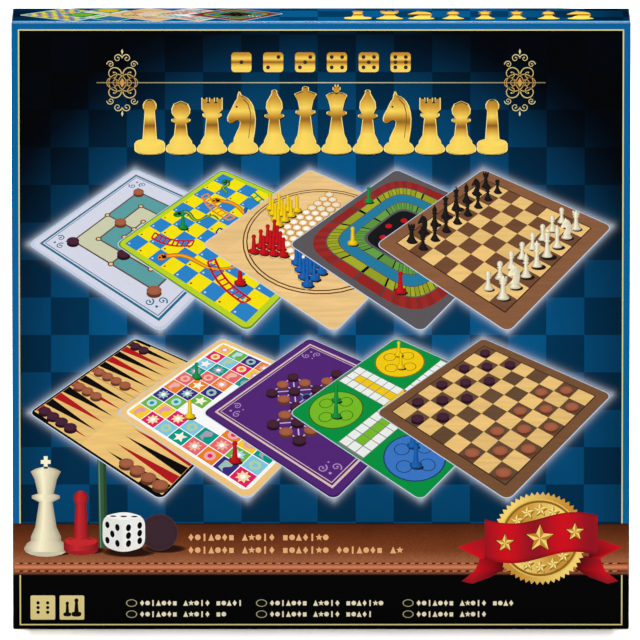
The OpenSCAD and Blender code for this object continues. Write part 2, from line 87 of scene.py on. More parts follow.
def plane(origin, right, up):
    """A face of the object: where a point of it is, at a height above it."""
    out = Vector(right).cross(Vector(up))

    def place(u, v, lift=0.0):
        return tuple((o + a * u + b * v + c * lift) * MM
                     for o, a, b, c in zip(origin, right, up, out))
    return place


WALL_MID = (LID_LOW[1] + LID_HIGH[1]) / 2
FRONT = plane((0, LID_LOW[1], 0), RIGHT, UP)
BACK = plane((0, BASE_HIGH[1], 0), LEFT, UP)
TOP = plane((0, LID_LOW[1], BOX_H), RIGHT, BACKWARD)
BOTTOM = plane((0, LID_HIGH[1], 0), RIGHT, FORWARD)
LEFT_WALL = plane((LID_LOW[0], WALL_MID, 0), FORWARD, UP)
RIGHT_WALL = plane((LID_HIGH[0], WALL_MID, 0), BACKWARD, UP)


def rgb(red, green, blue):
    """A colour given in display values from 0 to 255, as Blender's linear values."""
    def linear(v):
        v /= 255
        return v / 12.92 if v <= 0.04045 else ((v + 0.055) / 1.055) ** 2.4
    return (linear(red), linear(green), linear(blue), 1.0)


def blend(a, b, t):
    return tuple(p + (q - p) * t for p, q in zip(a, b))


def between(value, steps):
    """Reads a value off a row of (place, tone) steps, where a tone is a number or a colour."""
    value = min(max(value, steps[0][0]), steps[-1][0])
    for (low, a), (high, b) in zip(steps, steps[1:]):
        if value <= high:
            t = (value - low) / (high - low)
            return a + (b - a) * t if isinstance(a, float) else blend(a, b, t)
    return steps[-1][1]


def shade(colour, factor):
    return tuple(min(1.0, v * factor) for v in colour[:3]) + (1.0,)


WHITE = rgb(255, 255, 255)
BLACK = rgb(8, 8, 9)
CREAM = rgb(240, 230, 196)
IVORY = rgb(238, 229, 200)
EBONY = rgb(30, 27, 28)
BLUE_EDGE = rgb(8, 98, 156)
CHECK_LIGHT = rgb(5, 86, 136)
CHECK_DARK = rgb(1, 57, 93)
GOLD_LIGHT = rgb(252, 216, 92)
GOLD_MID = rgb(206, 150, 38)
GOLD_DARK = rgb(134, 84, 8)
RED = rgb(196, 22, 30)
YELLOW = rgb(246, 204, 20)
GREEN = rgb(26, 146, 62)
BLUE = rgb(28, 98, 178)
LIME = rgb(120, 190, 40)
ORANGE = rgb(238, 140, 30)
PURPLE = rgb(84, 40, 120)
TEAL = rgb(32, 108, 138)
LILAC = rgb(206, 184, 232)
TAN = rgb(238, 196, 122)
BROWN = rgb(116, 76, 52)
DEEP_BROWN = rgb(84, 46, 26)
OAK = rgb(240, 200, 136)


# Materials. The print's gloss is low, and there is none on the top wall, seen at a low angle.

GLOSS = 0.01


class Nodes:
    """The node tree of a material or of the world."""

    def __init__(self, owner):
        owner.use_nodes = True
        self.nodes = owner.node_tree.nodes
        self.links = owner.node_tree.links

    def set(self, socket, value):
        if isinstance(value, bpy.types.NodeSocket):
            self.links.new(value, socket)
        else:
            socket.default_value = value

    def add(self, kind, inputs=None, **settings):
        node = self.nodes.new("ShaderNode" + kind)
        for key, value in settings.items():
            setattr(node, key, value)
        for key, value in (inputs or {}).items():
            self.set(node.inputs[key], value)
        return node

    def math(self, operation, a, b=0.0):
        return self.add("Math", {0: a, 1: b}, operation=operation).outputs[0]

    def spread(self, value, low, high):
        """Turns a value from 0 to 1 into one from low to high."""
        return self.add("MapRange", {"Value": value, "To Min": low, "To Max": high}).outputs[0]

    def seen(self):
        """1 for rays from the camera and for those seen in gloss or through glass, or else 0."""
        path = self.add("LightPath").outputs
        onward = self.math("MAXIMUM", path["Is Glossy Ray"], path["Is Transmission Ray"])
        return self.math("MAXIMUM", path["Is Camera Ray"], onward)


class Tree(Nodes):
    """The node tree of one material. Bumps are in mm, and noise in waves per metre."""

    def __init__(self, name, roughness=0.5, specular=0.4):
        self.material = bpy.data.materials.new(name)
        super().__init__(self.material)
        self.shader = self.nodes["Principled BSDF"]
        self.rough(roughness)
        self.shader.inputs["Specular IOR Level"].default_value = specular

    def rough(self, value):
        self.set(self.shader.inputs["Roughness"], value)

    def colour(self, value):
        self.set(self.shader.inputs["Base Color"], value)

    def bump(self, height, distance, strength=1.0):
        node = self.add("Bump", {"Height": height, "Distance": distance * MM,
                                 "Strength": strength})
        self.set(self.shader.inputs["Normal"], node.outputs[0])

    def mix(self, factor, a, b, kind="MIX"):
        return self.add("Mix", {0: factor, 6: a, 7: b}, data_type="RGBA",
                        blend_type=kind).outputs[2]

    def tint(self, colour, factor):
        """Multiplies a colour by a plain number."""
        grey = self.add("CombineColor", {0: factor, 1: factor, 2: factor}).outputs[0]
        return self.mix(1.0, colour, grey, "MULTIPLY")

    def grained(self, colour, grain, low, high):
        """Gives the surface a colour that a grain makes darker and lighter."""
        self.colour(self.tint(colour, self.spread(grain, low, high)))

    def place(self, scale=None, shift=(0, 0, 0)):
        spot = self.add("TexCoord").outputs["Object"]
        if scale is None:
            return spot
        return self.add("Mapping", {"Vector": spot, "Scale": scale, "Location": shift}).outputs[0]

    def noise(self, scale, detail=3.0, stretch=None):
        """Noise from 0 to 1."""
        return self.add("TexNoise", {"Vector": self.place(stretch), "Scale": scale,
                                     "Detail": detail}).outputs["Fac"]

    def cells(self, scale, feature="F1"):
        """How far a place is from the middle or the edge of its cell."""
        return self.add("TexVoronoi", {"Vector": self.place(), "Scale": scale},
                        feature=feature).outputs["Distance"]

    def attribute(self, name, output="Fac"):
        return self.add("Attribute", attribute_name=name).outputs[output]


def laminate(tree, roughness=0.42):
    """The faint unevenness of satin-laminated paper on board."""
    tree.rough(tree.spread(tree.noise(160.0), roughness - 0.05, roughness + 0.07))
    tree.bump(tree.noise(900.0, 2.0), 0.02, 0.5)
    return tree.material


def make_ground(name, gloss):
    """The dark blue checker, which darkens to the corners and glows round the boards."""
    tree = Tree(name, specular=gloss)
    vector = tree.place((1 / (CHECK_PITCH * MM),) * 3,
                        [v / CHECK_PITCH for v in (-CHECK_X, CHECK_Y, -CHECK_Z)])
    checks = tree.add("TexChecker", {"Vector": vector, "Scale": 1.0}).outputs["Fac"]
    squares = tree.tint(tree.mix(checks, CHECK_DARK, CHECK_LIGHT), tree.attribute("shade"))
    squares = tree.tint(squares, tree.spread(tree.noise(420.0, 4.0), 0.93, 1.07))
    tree.colour(tree.mix(tree.attribute("halo"), squares, rgb(222, 236, 252)))
    return laminate(tree)


def make_leather():
    """A printed band of brown hide with a fine grain."""
    tree = Tree("leather_print", specular=GLOSS)
    grain = tree.spread(tree.cells(620.0, "DISTANCE_TO_EDGE"), 0.72, 1.25)
    hide = tree.tint(tree.attribute("ink", "Color"), grain)
    tree.grained(hide, tree.noise(55.0, 4.0), 0.8, 1.2)
    return laminate(tree, 0.46)


def make_ink(name="ink", gloss=GLOSS, roughness=0.42, grain=0.05):
    """Printed ink, with its colour taken from the drawing."""
    tree = Tree(name, specular=gloss)
    tree.grained(tree.attribute("ink", "Color"), tree.noise(700.0, 4.0), 1 - grain, 1 + grain)
    return laminate(tree, roughness)


def make_wood_ink(name="timber_print", gloss=GLOSS):
    """Printed timber: the drawing's colour with long streaks along X."""
    tree = Tree(name, specular=gloss)
    streak = tree.noise(300.0, 5.0, (0.12, 1.0, 1.6))
    tree.grained(tree.attribute("ink", "Color"), streak, 0.78, 1.2)
    return laminate(tree)


def make_greyboard():
    tree = Tree("greyboard", roughness=0.85, specular=0.2)
    fibres = tree.noise(1400.0, 5.0, (1.0, 1.0, 0.35))
    board = tree.mix(tree.spread(fibres, 0.0, 1.0), rgb(122, 117, 108), rgb(176, 170, 158))
    tree.colour(tree.mix(tree.spread(tree.cells(900.0), 0.0, 0.25), board, rgb(92, 88, 84)))
    tree.bump(fibres, 0.06)
    return tree.material


def make_card(name, colour, roughness=0.7, gloss=0.25):
    """Lined card, with faint fibres under the colour."""
    tree = Tree(name, roughness=roughness, specular=gloss)
    fibres = tree.noise(1100.0, 5.0, (1.0, 1.0, 0.4))
    tree.grained(colour, fibres, 0.9, 1.1)
    tree.bump(fibres, 0.03)
    return tree.material


def make_polished(name, colour, roughness=0.18, streaks=0.06):
    """Moulded and polished plastic, slightly clouded."""
    tree = Tree(name, specular=0.5)
    tree.grained(colour, tree.noise(90.0, 4.0), 1 - streaks, 1 + streaks)
    tree.rough(tree.spread(tree.noise(400.0), roughness - 0.05, roughness + 0.12))
    tree.bump(tree.noise(1300.0, 2.0), 0.01)
    return tree.material


def make_lacquered(name, colour, along=(1.0, 1.0, 0.12)):
    """Stained and lacquered wood whose grain shows through the colour."""
    tree = Tree(name, specular=0.5)
    grain = tree.noise(1500.0, 5.0, along)
    tree.grained(colour, grain, 0.8, 1.15)
    tree.rough(tree.spread(grain, 0.2, 0.38))
    tree.bump(grain, 0.03)
    return tree.material


def make_steel():
    tree = Tree("staple_steel", roughness=0.3)
    tree.shader.inputs["Metallic"].default_value = 1.0
    tree.grained(rgb(196, 198, 202), tree.noise(3000.0), 0.85, 1.1)
    return tree.material


# Meshes and objects

def new_mesh(name, points, faces, materials, kinds=None):
    """A mesh of some materials. The kinds say which of them each face has."""
    mesh = bpy.data.meshes.new(name)
    mesh.from_pydata(points, [], faces)
    for material in materials:
        mesh.materials.append(material)
    if kinds:
        mesh.polygons.foreach_set("material_index", kinds)
    return mesh


def set_inks(mesh, inks):
    """Gives each point of a mesh its printed colour."""
    layer = mesh.color_attributes.new("ink", "FLOAT_COLOR", "POINT")
    layer.data.foreach_set("color", [v for ink in inks for v in ink])


def put(name, data):
    """A new object in the scene."""
    thing = bpy.data.objects.new(name, data)
    bpy.context.collection.objects.link(thing)
    return thing


def add_piece(name, mesh, body, slot):
    piece = put(name, mesh)
    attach(piece, body)
    return piece


# Outlines, as points round a shape

def sides(outline):
    """The sides of a closed outline, each as its two ends."""
    return list(zip(outline, outline[1:] + outline[:1]))


def area(outline):
    return sum(a[0] * b[1] - b[0] * a[1] for a, b in sides(outline)) / 2


def circle(x, z, r, count=20, squash=1.0, start=0.0):
    turns = [math.radians(start) + math.tau * i / count for i in range(count)]
    return [(x + r * math.cos(t), z + r * squash * math.sin(t)) for t in turns]


def quarter(x, z, r, start, count=5):
    """A quarter turn round a point."""
    turns = [math.radians(start + 90 * i / count) for i in range(count + 1)]
    return [(x + r * math.cos(t), z + r * math.sin(t)) for t in turns]


def star_outline(x, z, r, points, depth=0.45):
    """A star with one point upwards."""
    tips = circle(x, z, r, points, 1.0, 90)
    notches = circle(x, z, r * depth, points, 1.0, 90 + 180 / points)
    return [point for pair in zip(tips, notches) for point in pair]


def quads(outer, inner):
    """The four-sided shapes between two closed outlines of as many points."""
    return [[a, b, d, c] for (a, b), (c, d) in zip(sides(outer), sides(inner))]


def along(x, z, start, end):
    """How far along a line its nearest point to a place is, from 0 at its start to 1."""
    dx, dz = end[0] - start[0], end[1] - start[1]
    return min(max(((x - start[0]) * dx + (z - start[1]) * dz) / (dx * dx + dz * dz), 0.0), 1.0)


def frame_sides(left, right, low, high, width):
    """The four strips of a frame, each as its left, right, low and high."""
    return ((left, right, low, low + width), (left, right, high - width, high),
            (left, left + width, low + width, high - width),
            (right - width, right, low + width, high - width))


# Flat prints

LAYER = 0.004


class Print:
    """Flat printed shapes on one face of the object, in thin layers one before the other."""

    def __init__(self, place, layer=1):
        self.place = place
        self.points = []
        self.faces = []
        self.inks = []
        self.kinds = []
        self.layer = layer
        self.kind = 0

    def up(self, count=1):
        self.layer += count

    def dim(self, factor):
        """Darkens all that is drawn so far."""
        self.inks = [shade(ink, factor) for ink in self.inks]

    def shape(self, outline, colour, above=0):
        """Adds a shape some layers above the current one. Its colour is one for the whole, one
        for each corner, or a function of the place."""
        outline = list(outline)
        if callable(colour):
            inks = [colour(x, z) for x, z in outline]
        else:
            inks = list(colour) if isinstance(colour, list) else [colour] * len(outline)
        if area(outline) < 0:
            outline.reverse()
            inks.reverse()
        first = len(self.points)
        lift = (self.layer + above) * LAYER
        self.points += [self.place(x, z, lift) for x, z in outline]
        self.inks += inks
        self.faces.append(list(range(first, len(self.points))))
        self.kinds.append(self.kind)

    def strip(self, left, right, low, high, colour, above=0):
        self.shape([(left, low), (right, low), (right, high), (left, high)], colour, above)

    def build(self, name, body, slot, *materials):
        mesh = new_mesh(name, self.points, self.faces, materials, self.kinds)
        set_inks(mesh, self.inks)
        add_piece(name, mesh, body, slot)


class Pen:
    """Draws a picture that is 100 wide and 100 high between four corners of a print. The
    corners run anticlockwise from the lower left, and may be a square seen in perspective."""

    def __init__(self, sheet, corners):
        self.sheet = sheet
        (x0, y0), (x1, y1), (x2, y2), (x3, y3) = corners
        ax, ay, bx, by = x1 - x2, y1 - y2, x3 - x2, y3 - y2
        sx, sy = x0 - x1 + x2 - x3, y0 - y1 + y2 - y3
        det = ax * by - bx * ay
        g = (sx * by - bx * sy) / det
        h = (ax * sy - sx * ay) / det
        self.rows = ((x1 - x0 + g * x1, x3 - x0 + h * x3, x0),
                     (y1 - y0 + g * y1, y3 - y0 + h * y3, y0), (g, h, 1.0))

    def at(self, u, v):
        u, v = u / 100, v / 100
        x, y, w = (row[0] * u + row[1] * v + row[2] for row in self.rows)
        return x / w, y / w

    def size(self, u, v):
        """How long one unit of the picture is on the print, near one point."""
        x, y = self.at(u, v)
        x1, y1 = self.at(u + 1, v)
        x2, y2 = self.at(u, v + 1)
        return math.sqrt(abs((x1 - x) * (y2 - y) - (x2 - x) * (y1 - y)))

    def up(self, count=1):
        self.sheet.up(count)

    def poly(self, points, colour, above=0):
        self.sheet.shape([self.at(u, v) for u, v in points], colour, above)

    def rect(self, u0, v0, u1, v1, colour):
        self.poly([(u0, v0), (u1, v0), (u1, v1), (u0, v1)], colour)

    def panel(self, inset, r, colour):
        """A square with round corners, and a step up from it."""
        low, high = inset + r, 100 - inset - r
        corners = ((high, low, -90), (high, high, 0), (low, high, 90), (low, low, 180))
        self.poly([point for u, v, start in corners for point in quarter(u, v, r, start)], colour)
        self.up()

    def disc(self, u, v, r, colour, count=20, above=0):
        self.poly(circle(u, v, r, count), colour, above)

    def ring(self, u, v, r, width, colour, count=24):
        for corners in quads(circle(u, v, r, count), circle(u, v, r - width, count)):
            self.poly(corners, colour)

    def line(self, points, width, colour, above=0, taper=1.0):
        """A stroke through points. Its width falls evenly to that share at its end."""
        sides = []
        last = len(points) - 1
        for i, (u, v) in enumerate(points):
            (u0, v0), (u1, v1) = points[max(i - 1, 0)], points[min(i + 1, last)]
            length = math.hypot(u1 - u0, v1 - v0) or 1.0
            half = width / 2 * (1 + (taper - 1) * i / last)
            du, dv = (v1 - v0) / length * half, (u0 - u1) / length * half
            sides.append(((u + du, v + dv), (u - du, v - dv)))
        for (a, b), (c, d) in zip(sides, sides[1:]):
            self.poly([a, c, d, b], colour, above)

    def frame(self, inset, width, colour):
        for u0, u1, v0, v1 in frame_sides(inset, 100 - inset, inset, 100 - inset, width):
            self.rect(u0, v0, u1, v1, colour)


QUARTERS = ((-1, -1), (1, -1), (1, 1), (-1, 1))


def tilted(sheet, x, z, corners, size=1.0):
    """A pen for a square whose corners are given from a point."""
    return Pen(sheet, [(x + a * size, z + b * size) for a, b in corners])


def tile(sheet, x, z, size):
    """A pen for an upright square round a point."""
    return tilted(sheet, x, z, QUARTERS, size / 2)


# Traditional boards. Each fills a picture that is 100 by 100.

WOOD_KIND = 1
CORNER = 4.0


def wood_base(pen, tone, seed, rim=None):
    """A sheet of printed timber, a little lighter or darker from plank to plank."""
    chance = random.Random(seed)
    pen.sheet.kind = WOOD_KIND
    pen.panel(0, CORNER, rim or tone)
    planks, edge = 7, 1.4
    wide = (100 - 2 * edge) / planks
    for i in range(planks):
        low = edge + wide * i
        side = edge if 0 < i < planks - 1 else 2 * edge
        pen.rect(side, low, 100 - side, low + wide, shade(tone, chance.uniform(0.95, 1.05)))
    pen.sheet.kind = 0
    pen.up()


def checkered(pen, inset, count, light, dark, seed):
    """Squares of printed timber in a thin dark line."""
    chance = random.Random(seed)
    pen.rect(inset - 0.7, inset - 0.7, 100.7 - inset, 100.7 - inset, rgb(62, 36, 26))
    pen.up()
    pen.sheet.kind = WOOD_KIND
    step = (100 - 2 * inset) / count
    for i in range(count):
        for j in range(count):
            u, v = inset + i * step, inset + j * step
            tone = (dark, light)[(i + j) % 2]
            pen.rect(u, v, u + step, v + step, shade(tone, chance.uniform(0.94, 1.06)))
    pen.sheet.kind = 0


def chess_board(pen):
    wood_base(pen, rgb(140, 94, 64), 3)
    checkered(pen, 9, 8, TAN, BROWN, 5)


def draughts_board(pen):
    wood_base(pen, rgb(122, 84, 56), 7)
    checkered(pen, 7, 8, TAN, rgb(104, 76, 54), 9)


def scroll(pen, u, v, r, start, turn, width, ink):
    """A spiral stroke that winds in and ends in a bead."""
    points = []
    for i in range(29):
        t = i / 28
        angle = math.radians(start + turn * t)
        points.append((u + r * (1 - 0.8 * t) * math.cos(angle),
                       v + r * (1 - 0.8 * t) * math.sin(angle)))
    pen.line(points, width, ink, 0, 0.5)
    pen.disc(*points[-1], width * 0.75, ink, 12, 1)


def corner_scrolls(pen, inset, r, ink):
    """Two scrolls and a bead in each corner of a board."""
    for a, b in QUARTERS:
        near, far = 50 - inset - r, 50 - inset - 2.9 * r
        scroll(pen, 50 + a * near, 50 + b * far, r, 90 + 90 * a, -420 * a * b, 0.8, ink)
        scroll(pen, 50 + a * far, 50 + b * near, r, 90 * b, 420 * a * b, 0.8, ink)
        pen.disc(50 + a * near, 50 + b * near, 0.3 * r, ink, 10)
        pen.disc(50 + a * far, 50 + b * far, 0.2 * r, ink, 10)


def mill_board(pen):
    """Three squares, joined at the middles of their sides."""
    pale = rgb(216, 218, 234)
    pen.panel(0, CORNER, rgb(196, 206, 230))
    pen.panel(1, CORNER, pale)
    for inset, width in ((4.6, 1.4), (6.8, 0.5)):
        pen.frame(inset, width, TEAL)
    corner_scrolls(pen, 8.6, 2.6, TEAL)
    insets = (19, 30, 41)
    fills = (rgb(206, 208, 176), rgb(92, 160, 162))
    for k, inset in enumerate(insets):
        pen.up()
        for a, b in QUARTERS:
            tone = fills[(a * b > 0) == (k == 0)] if k < 2 else pale
            pen.rect(50, 50, 50 + a * (50 - inset), 50 + b * (50 - inset), tone)
    line = rgb(98, 68, 66)
    pen.up()
    for inset in insets:
        pen.frame(inset - 0.5, 1.0, line)
    for low, high in ((insets[0], insets[2]), (100 - insets[2], 100 - insets[0])):
        pen.rect(49.5, low, 50.5, high, line)
        pen.rect(low, 49.5, high, 50.5, line)
    pen.up()
    for inset in insets:
        for u in (inset, 50, 100 - inset):
            for v in (inset, 50, 100 - inset):
                if (u, v) != (50, 50):
                    pen.disc(u, v, 1.9, line, 14)
                    pen.disc(u, v, 1.1, OAK, 12, 1)


STAR_STEP = 41.0 / 8


def star_places():
    """The places of a six-point star of triangles, each with its point's number, or 6 for the
    middle."""
    places = []
    for q in range(-8, 9):
        for r in range(-8, 9):
            s = -q - r
            if min(q, r, s) >= -4 or max(q, r, s) <= 4:
                part = (r > 4, r < -4, q > 4, q < -4, s > 4, s < -4, True).index(True)
                places.append((50 + STAR_STEP * (q + r / 2) * 1.1547, 50 + STAR_STEP * r, part))
    return places


def star_board(pen):
    """A six-point star of places on timber, in two fine circles."""
    wood_base(pen, OAK, 11)
    pen.ring(50, 50, 46.5, 0.8, DEEP_BROWN, 40)
    pen.ring(50, 50, 44.3, 0.8, DEEP_BROWN, 40)
    tones = (RED, GREEN, YELLOW, BLACK, BLUE, rgb(235, 232, 224), WHITE)
    for u, v, part in star_places():
        pen.poly(circle(u, v, 3.3, 6, 1.0, 30), rgb(170, 100, 50))
        pen.poly(circle(u, v, 2.9, 6, 1.0, 30), rgb(248, 214, 150), 1)
        pen.disc(u, v, 1.7, tones[part], 10, 2)
    pen.up(2)


def wavy(u0, v0, u1, v1, swing, waves=2, count=18):
    length = math.hypot(u1 - u0, v1 - v0)
    nu, nv = (v0 - v1) / length, (u1 - u0) / length
    points = []
    for i in range(count + 1):
        t = i / count
        off = swing * math.sin(waves * math.pi * t)
        points.append((u0 + (u1 - u0) * t + nu * off, v0 + (v1 - v0) * t + nv * off))
    return points


def snake(pen, u0, v0, u1, v1, colour, swing):
    route = wavy(u0, v0, u1, v1, swing, 3)
    pen.line(route, 3.6, shade(colour, 0.4), 1, 0.3)
    pen.disc(u0, v0, 3.0, shade(colour, 0.4), 14, 1)
    pen.line(route, 2.6, colour, 2, 0.3)
    pen.disc(u0, v0, 2.5, colour, 14, 2)
    pen.line(route[1:-3], 0.9, blend(colour, YELLOW, 0.6), 3, 0.4)
    for side in (-1, 1):
        pen.disc(u0 + side * 1.0, v0 + 0.8, 0.7, BLACK, 8, 3)


def ladder(pen, u0, v0, u1, v1, tone):
    """Two bent rails with rungs between them."""
    length = math.hypot(u1 - u0, v1 - v0)
    nu, nv = (v0 - v1) / length * 2.4, (u1 - u0) / length * 2.4
    rails = [wavy(u0 + side * nu, v0 + side * nv, u1 + side * nu, v1 + side * nv, 3.0, 1, 9)
             for side in (-1, 1)]
    for a, b in zip(*rails):
        pen.line([a, b], 1.0, tone, 1)
    for rail in rails:
        pen.line(rail, 1.3, tone, 2)


def snakes_board(pen):
    """Nine by nine squares with snakes and ladders."""
    pen.panel(0, CORNER, rgb(96, 140, 40))
    pen.panel(0.8, CORNER, rgb(188, 214, 40))
    step = 92 / 9
    squares, marks = (rgb(44, 132, 202), rgb(250, 230, 14)), (rgb(200, 226, 240), rgb(150, 60, 20))
    for i in range(9):
        for j in range(9):
            u, v, odd = 4 + step * i, 4 + step * j, (i + j) % 2
            pen.rect(u, v, u + step, v + step, squares[odd])
            pen.disc(u + 1.8, v + step - 1.8, 0.7, marks[odd], 6, 1)
    pen.up()
    for tone, *route in ((RED, 15, 12, 26, 46), (rgb(30, 40, 140), 58, 20, 48, 60),
                         (rgb(0, 140, 120), 86, 26, 90, 66), (RED, 30, 64, 20, 88),
                         (ORANGE, 62, 60, 70, 90)):
        ladder(pen, *route, tone)
    for tone, swing, *route in ((GREEN, 3.5, 44, 90, 56, 66), (ORANGE, 3.5, 70, 80, 74, 16),
                                (ORANGE, 3.5, 10, 70, 40, 14), (GREEN, 1.5, 90, 88, 78, 80)):
        snake(pen, *route, tone, swing)


YARDS = (LIME, YELLOW, rgb(212, 20, 28), rgb(60, 120, 200))


def cross_board(pen):
    """A cross and circle race game: four yards, a cross of cells and a home in its middle."""
    pen.panel(0, CORNER, rgb(10, 146, 66))
    cell = 96 / 15
    for i, (a, b) in enumerate(((-1, 1), (1, 1), (1, -1), (-1, -1))):
        middle = (50 + a * 4.7 * cell, 50 + b * 4.7 * cell)
        pen.disc(*middle, 2.62 * cell, shade(YARDS[i], 0.25), 28)
        pen.disc(*middle, 2.5 * cell, YARDS[i], 28, 1)
        for c, d in ((-1, 0), (0, -1), (1, 0), (0, 1)):
            spot = (middle[0] + c * 1.35 * cell, middle[1] + d * 1.35 * cell)
            pen.disc(*spot, 0.68 * cell, shade(YARDS[i], 0.25), 14, 2)
            pen.disc(*spot, 0.6 * cell, YARDS[i], 14, 3)
    pen.up(4)
    low, high = 2 + 6 * cell, 2 + 9 * cell
    pen.rect(low, 0.8, high, 99.2, rgb(120, 126, 120))
    pen.rect(0.8, low, 99.2, high, rgb(120, 126, 120))
    pen.up()
    for i in range(15):
        for j in range(15):
            if (6 <= i <= 8) == (6 <= j <= 8):
                continue
            u, v = 2 + i * cell + 0.25, 2 + j * cell + 0.25
            tone = rgb(240, 244, 240)
            if j == 7 and 0 < i < 14:
                tone = YARDS[0] if i < 7 else YARDS[2]
            if i == 7 and 0 < j < 14:
                tone = YARDS[3] if j < 7 else YARDS[1]
            pen.rect(u, v, u + cell - 0.5, v + cell - 0.5, tone)
    corners = [(low, low), (high, low), (high, high), (low, high)]
    for i, yard in enumerate((3, 2, 1, 0)):
        pen.poly([corners[i], corners[(i + 1) % 4], (50, 50)], YARDS[yard])


def backgammon_board(pen):
    """Two halves of timber with twelve long points on each side, in a black rim."""
    wood_base(pen, rgb(240, 198, 120), 13, BLACK)
    for half in (3.5, 52):
        for i in range(6):
            u = half + 7.4 * i
            tones = (rgb(14, 10, 12), rgb(180, 26, 32))
            pen.poly([(u + 0.6, 1.6), (u + 6.8, 1.6), (u + 3.7, 42)], tones[i % 2])
            pen.poly([(u + 0.6, 98.4), (u + 3.7, 58), (u + 6.8, 98.4)], tones[(i + 1) % 2])
    pen.rect(49.6, 1.6, 50.4, 98.4, rgb(196, 150, 84))


def spiral_cells():
    """Places of the 63 cells of a goose track, from the outside in."""
    cells = [(0, 0)]
    du, dv = 1, 0
    while len(cells) < 63:
        u, v = cells[-1][0] + du, cells[-1][1] + dv
        if 0 <= u <= 8 and 0 <= v <= 7 and (u, v) not in cells:
            cells.append((u, v))
        else:
            du, dv = -dv, du
    return cells


def goose_board(pen):
    """A spiral race track of coloured cells, with a star on every ninth."""
    pen.panel(0, CORNER + 2, rgb(244, 202, 130))
    pen.panel(3.4, 4, WHITE)
    tones = (rgb(228, 30, 104), rgb(60, 42, 130), rgb(0, 156, 136), rgb(250, 208, 40),
             rgb(240, 132, 36), rgb(128, 202, 232), rgb(112, 184, 66), rgb(236, 104, 112))
    wide, high = 90 / 9, 90 / 8
    for n, (i, j) in enumerate(spiral_cells()):
        u, v = 5 + i * wide, 5 + j * high
        pen.rect(u + 0.3, v + 0.3, u + wide - 0.3, v + high - 0.3, tones[n * 5 % 8])
        u, v = u + wide / 2, v + high / 2
        tone = blend(tones[(n * 3 + 3) % 8], WHITE, 0.35)
        if n % 9 == 8:
            pen.poly(star_outline(u, v, 4.4, 5), rgb(255, 250, 230), 1)
        elif n % 3 == 1:
            pen.disc(u, v, 3.3, tone, 12, 1)
            pen.disc(u, v, 1.5, tones[(n + 4) % 8], 10, 2)
        elif n % 3 == 0:
            pen.poly(star_outline(u, v, 4.2, 8, 0.6), tone, 1)
            pen.disc(u, v, 1.5, WHITE, 10, 2)
        else:
            pen.poly(wavy(u - 4, v - 1, u + 4, v - 1, 1.5, 2, 8) + [(u + 3, v + 3), (u - 3, v + 3)],
                     tone, 1)


PEG_HOLES = [(i, j) for i in range(-3, 4) for j in range(-3, 4) if abs(i) < 2 or abs(j) < 2]


def peg_board(pen):
    """The cross of thirty-three places of a game for one."""
    pale = rgb(226, 196, 190)
    pen.panel(0, CORNER, rgb(58, 24, 76))
    pen.panel(0.8, CORNER, PURPLE)
    for inset, width in ((5.0, 1.3), (7.4, 0.5)):
        pen.frame(inset, width, pale)
    corner_scrolls(pen, 9.2, 2.8, rgb(176, 140, 196))
    places = [(50 + 10 * i, 50 + 10 * j) for i, j in PEG_HOLES]
    for u, v in places:
        for du, dv in ((10, 0), (0, 10), (10, 10), (10, -10)):
            if (u + du, v + dv) in places and (du + dv in (10, -10) or (u + v) % 20 == 0):
                pen.line([(u, v), (u + du, v + dv)], 0.8, LILAC)
    pen.up()
    for u, v in places:
        pen.disc(u, v, 3.2, rgb(40, 130, 140), 16)
        pen.disc(u, v, 2.5, rgb(58, 24, 88), 16, 1)


def oval(half, count=48):
    """A square with well-rounded corners round the picture's middle."""
    return [tuple(50 + half * math.copysign(abs(share) ** 0.4, share) for share in point)
            for point in circle(0, 0, 1, count)]


def race_board(pen):
    """Lanes of cells round a dark field, with a chequered line across them."""
    pen.panel(0, CORNER, rgb(92, 88, 92))
    lanes = ((46, 6.4, rgb(152, 38, 34), rgb(100, 60, 60)), (39, 5.4, rgb(156, 164, 38), BLACK),
             (33, 6.4, rgb(36, 124, 160), None), (26, 5.4, rgb(96, 152, 66), BLACK))
    for half, wide, tone, gap in lanes:
        for i, (a, b, c, d) in enumerate(quads(oval(half), oval(half - wide))):
            pen.poly([a, b, c, d], gap or tone)
            if gap:
                cell = [blend(p, q, t) for p, q, t in ((a, b, 0.06), (a, b, 0.94), (d, c, 0.94),
                                                       (d, c, 0.06))]
                pen.poly(cell, shade(tone, 1.15 if i % 2 else 0.95), 1)
    pen.up(2)
    pen.poly(oval(19), rgb(22, 24, 26))
    for i in range(7):
        for j in range(2):
            u, v = 48 + 2.4 * j, 4 + 3.6 * i
            pen.rect(u, v, u + 2.4, v + 3.6, WHITE if (i + j) % 2 else BLACK)
    for u, v in circle(50, 50, 14, 8):
        pen.disc(u, v, 2.2, RED, 8, 1)


BOARDS = {"chess": chess_board, "draughts": draughts_board, "mill": mill_board,
          "star": star_board, "snakes": snakes_board, "cross": cross_board,
          "backgammon": backgammon_board, "goose": goose_board, "peg": peg_board,
          "race": race_board}


# Printed playing pieces

def shares(*points):
    """An outline given as (half width, height) in percent of the piece's height."""
    return tuple((x / 100, z / 100) for x, z in points)


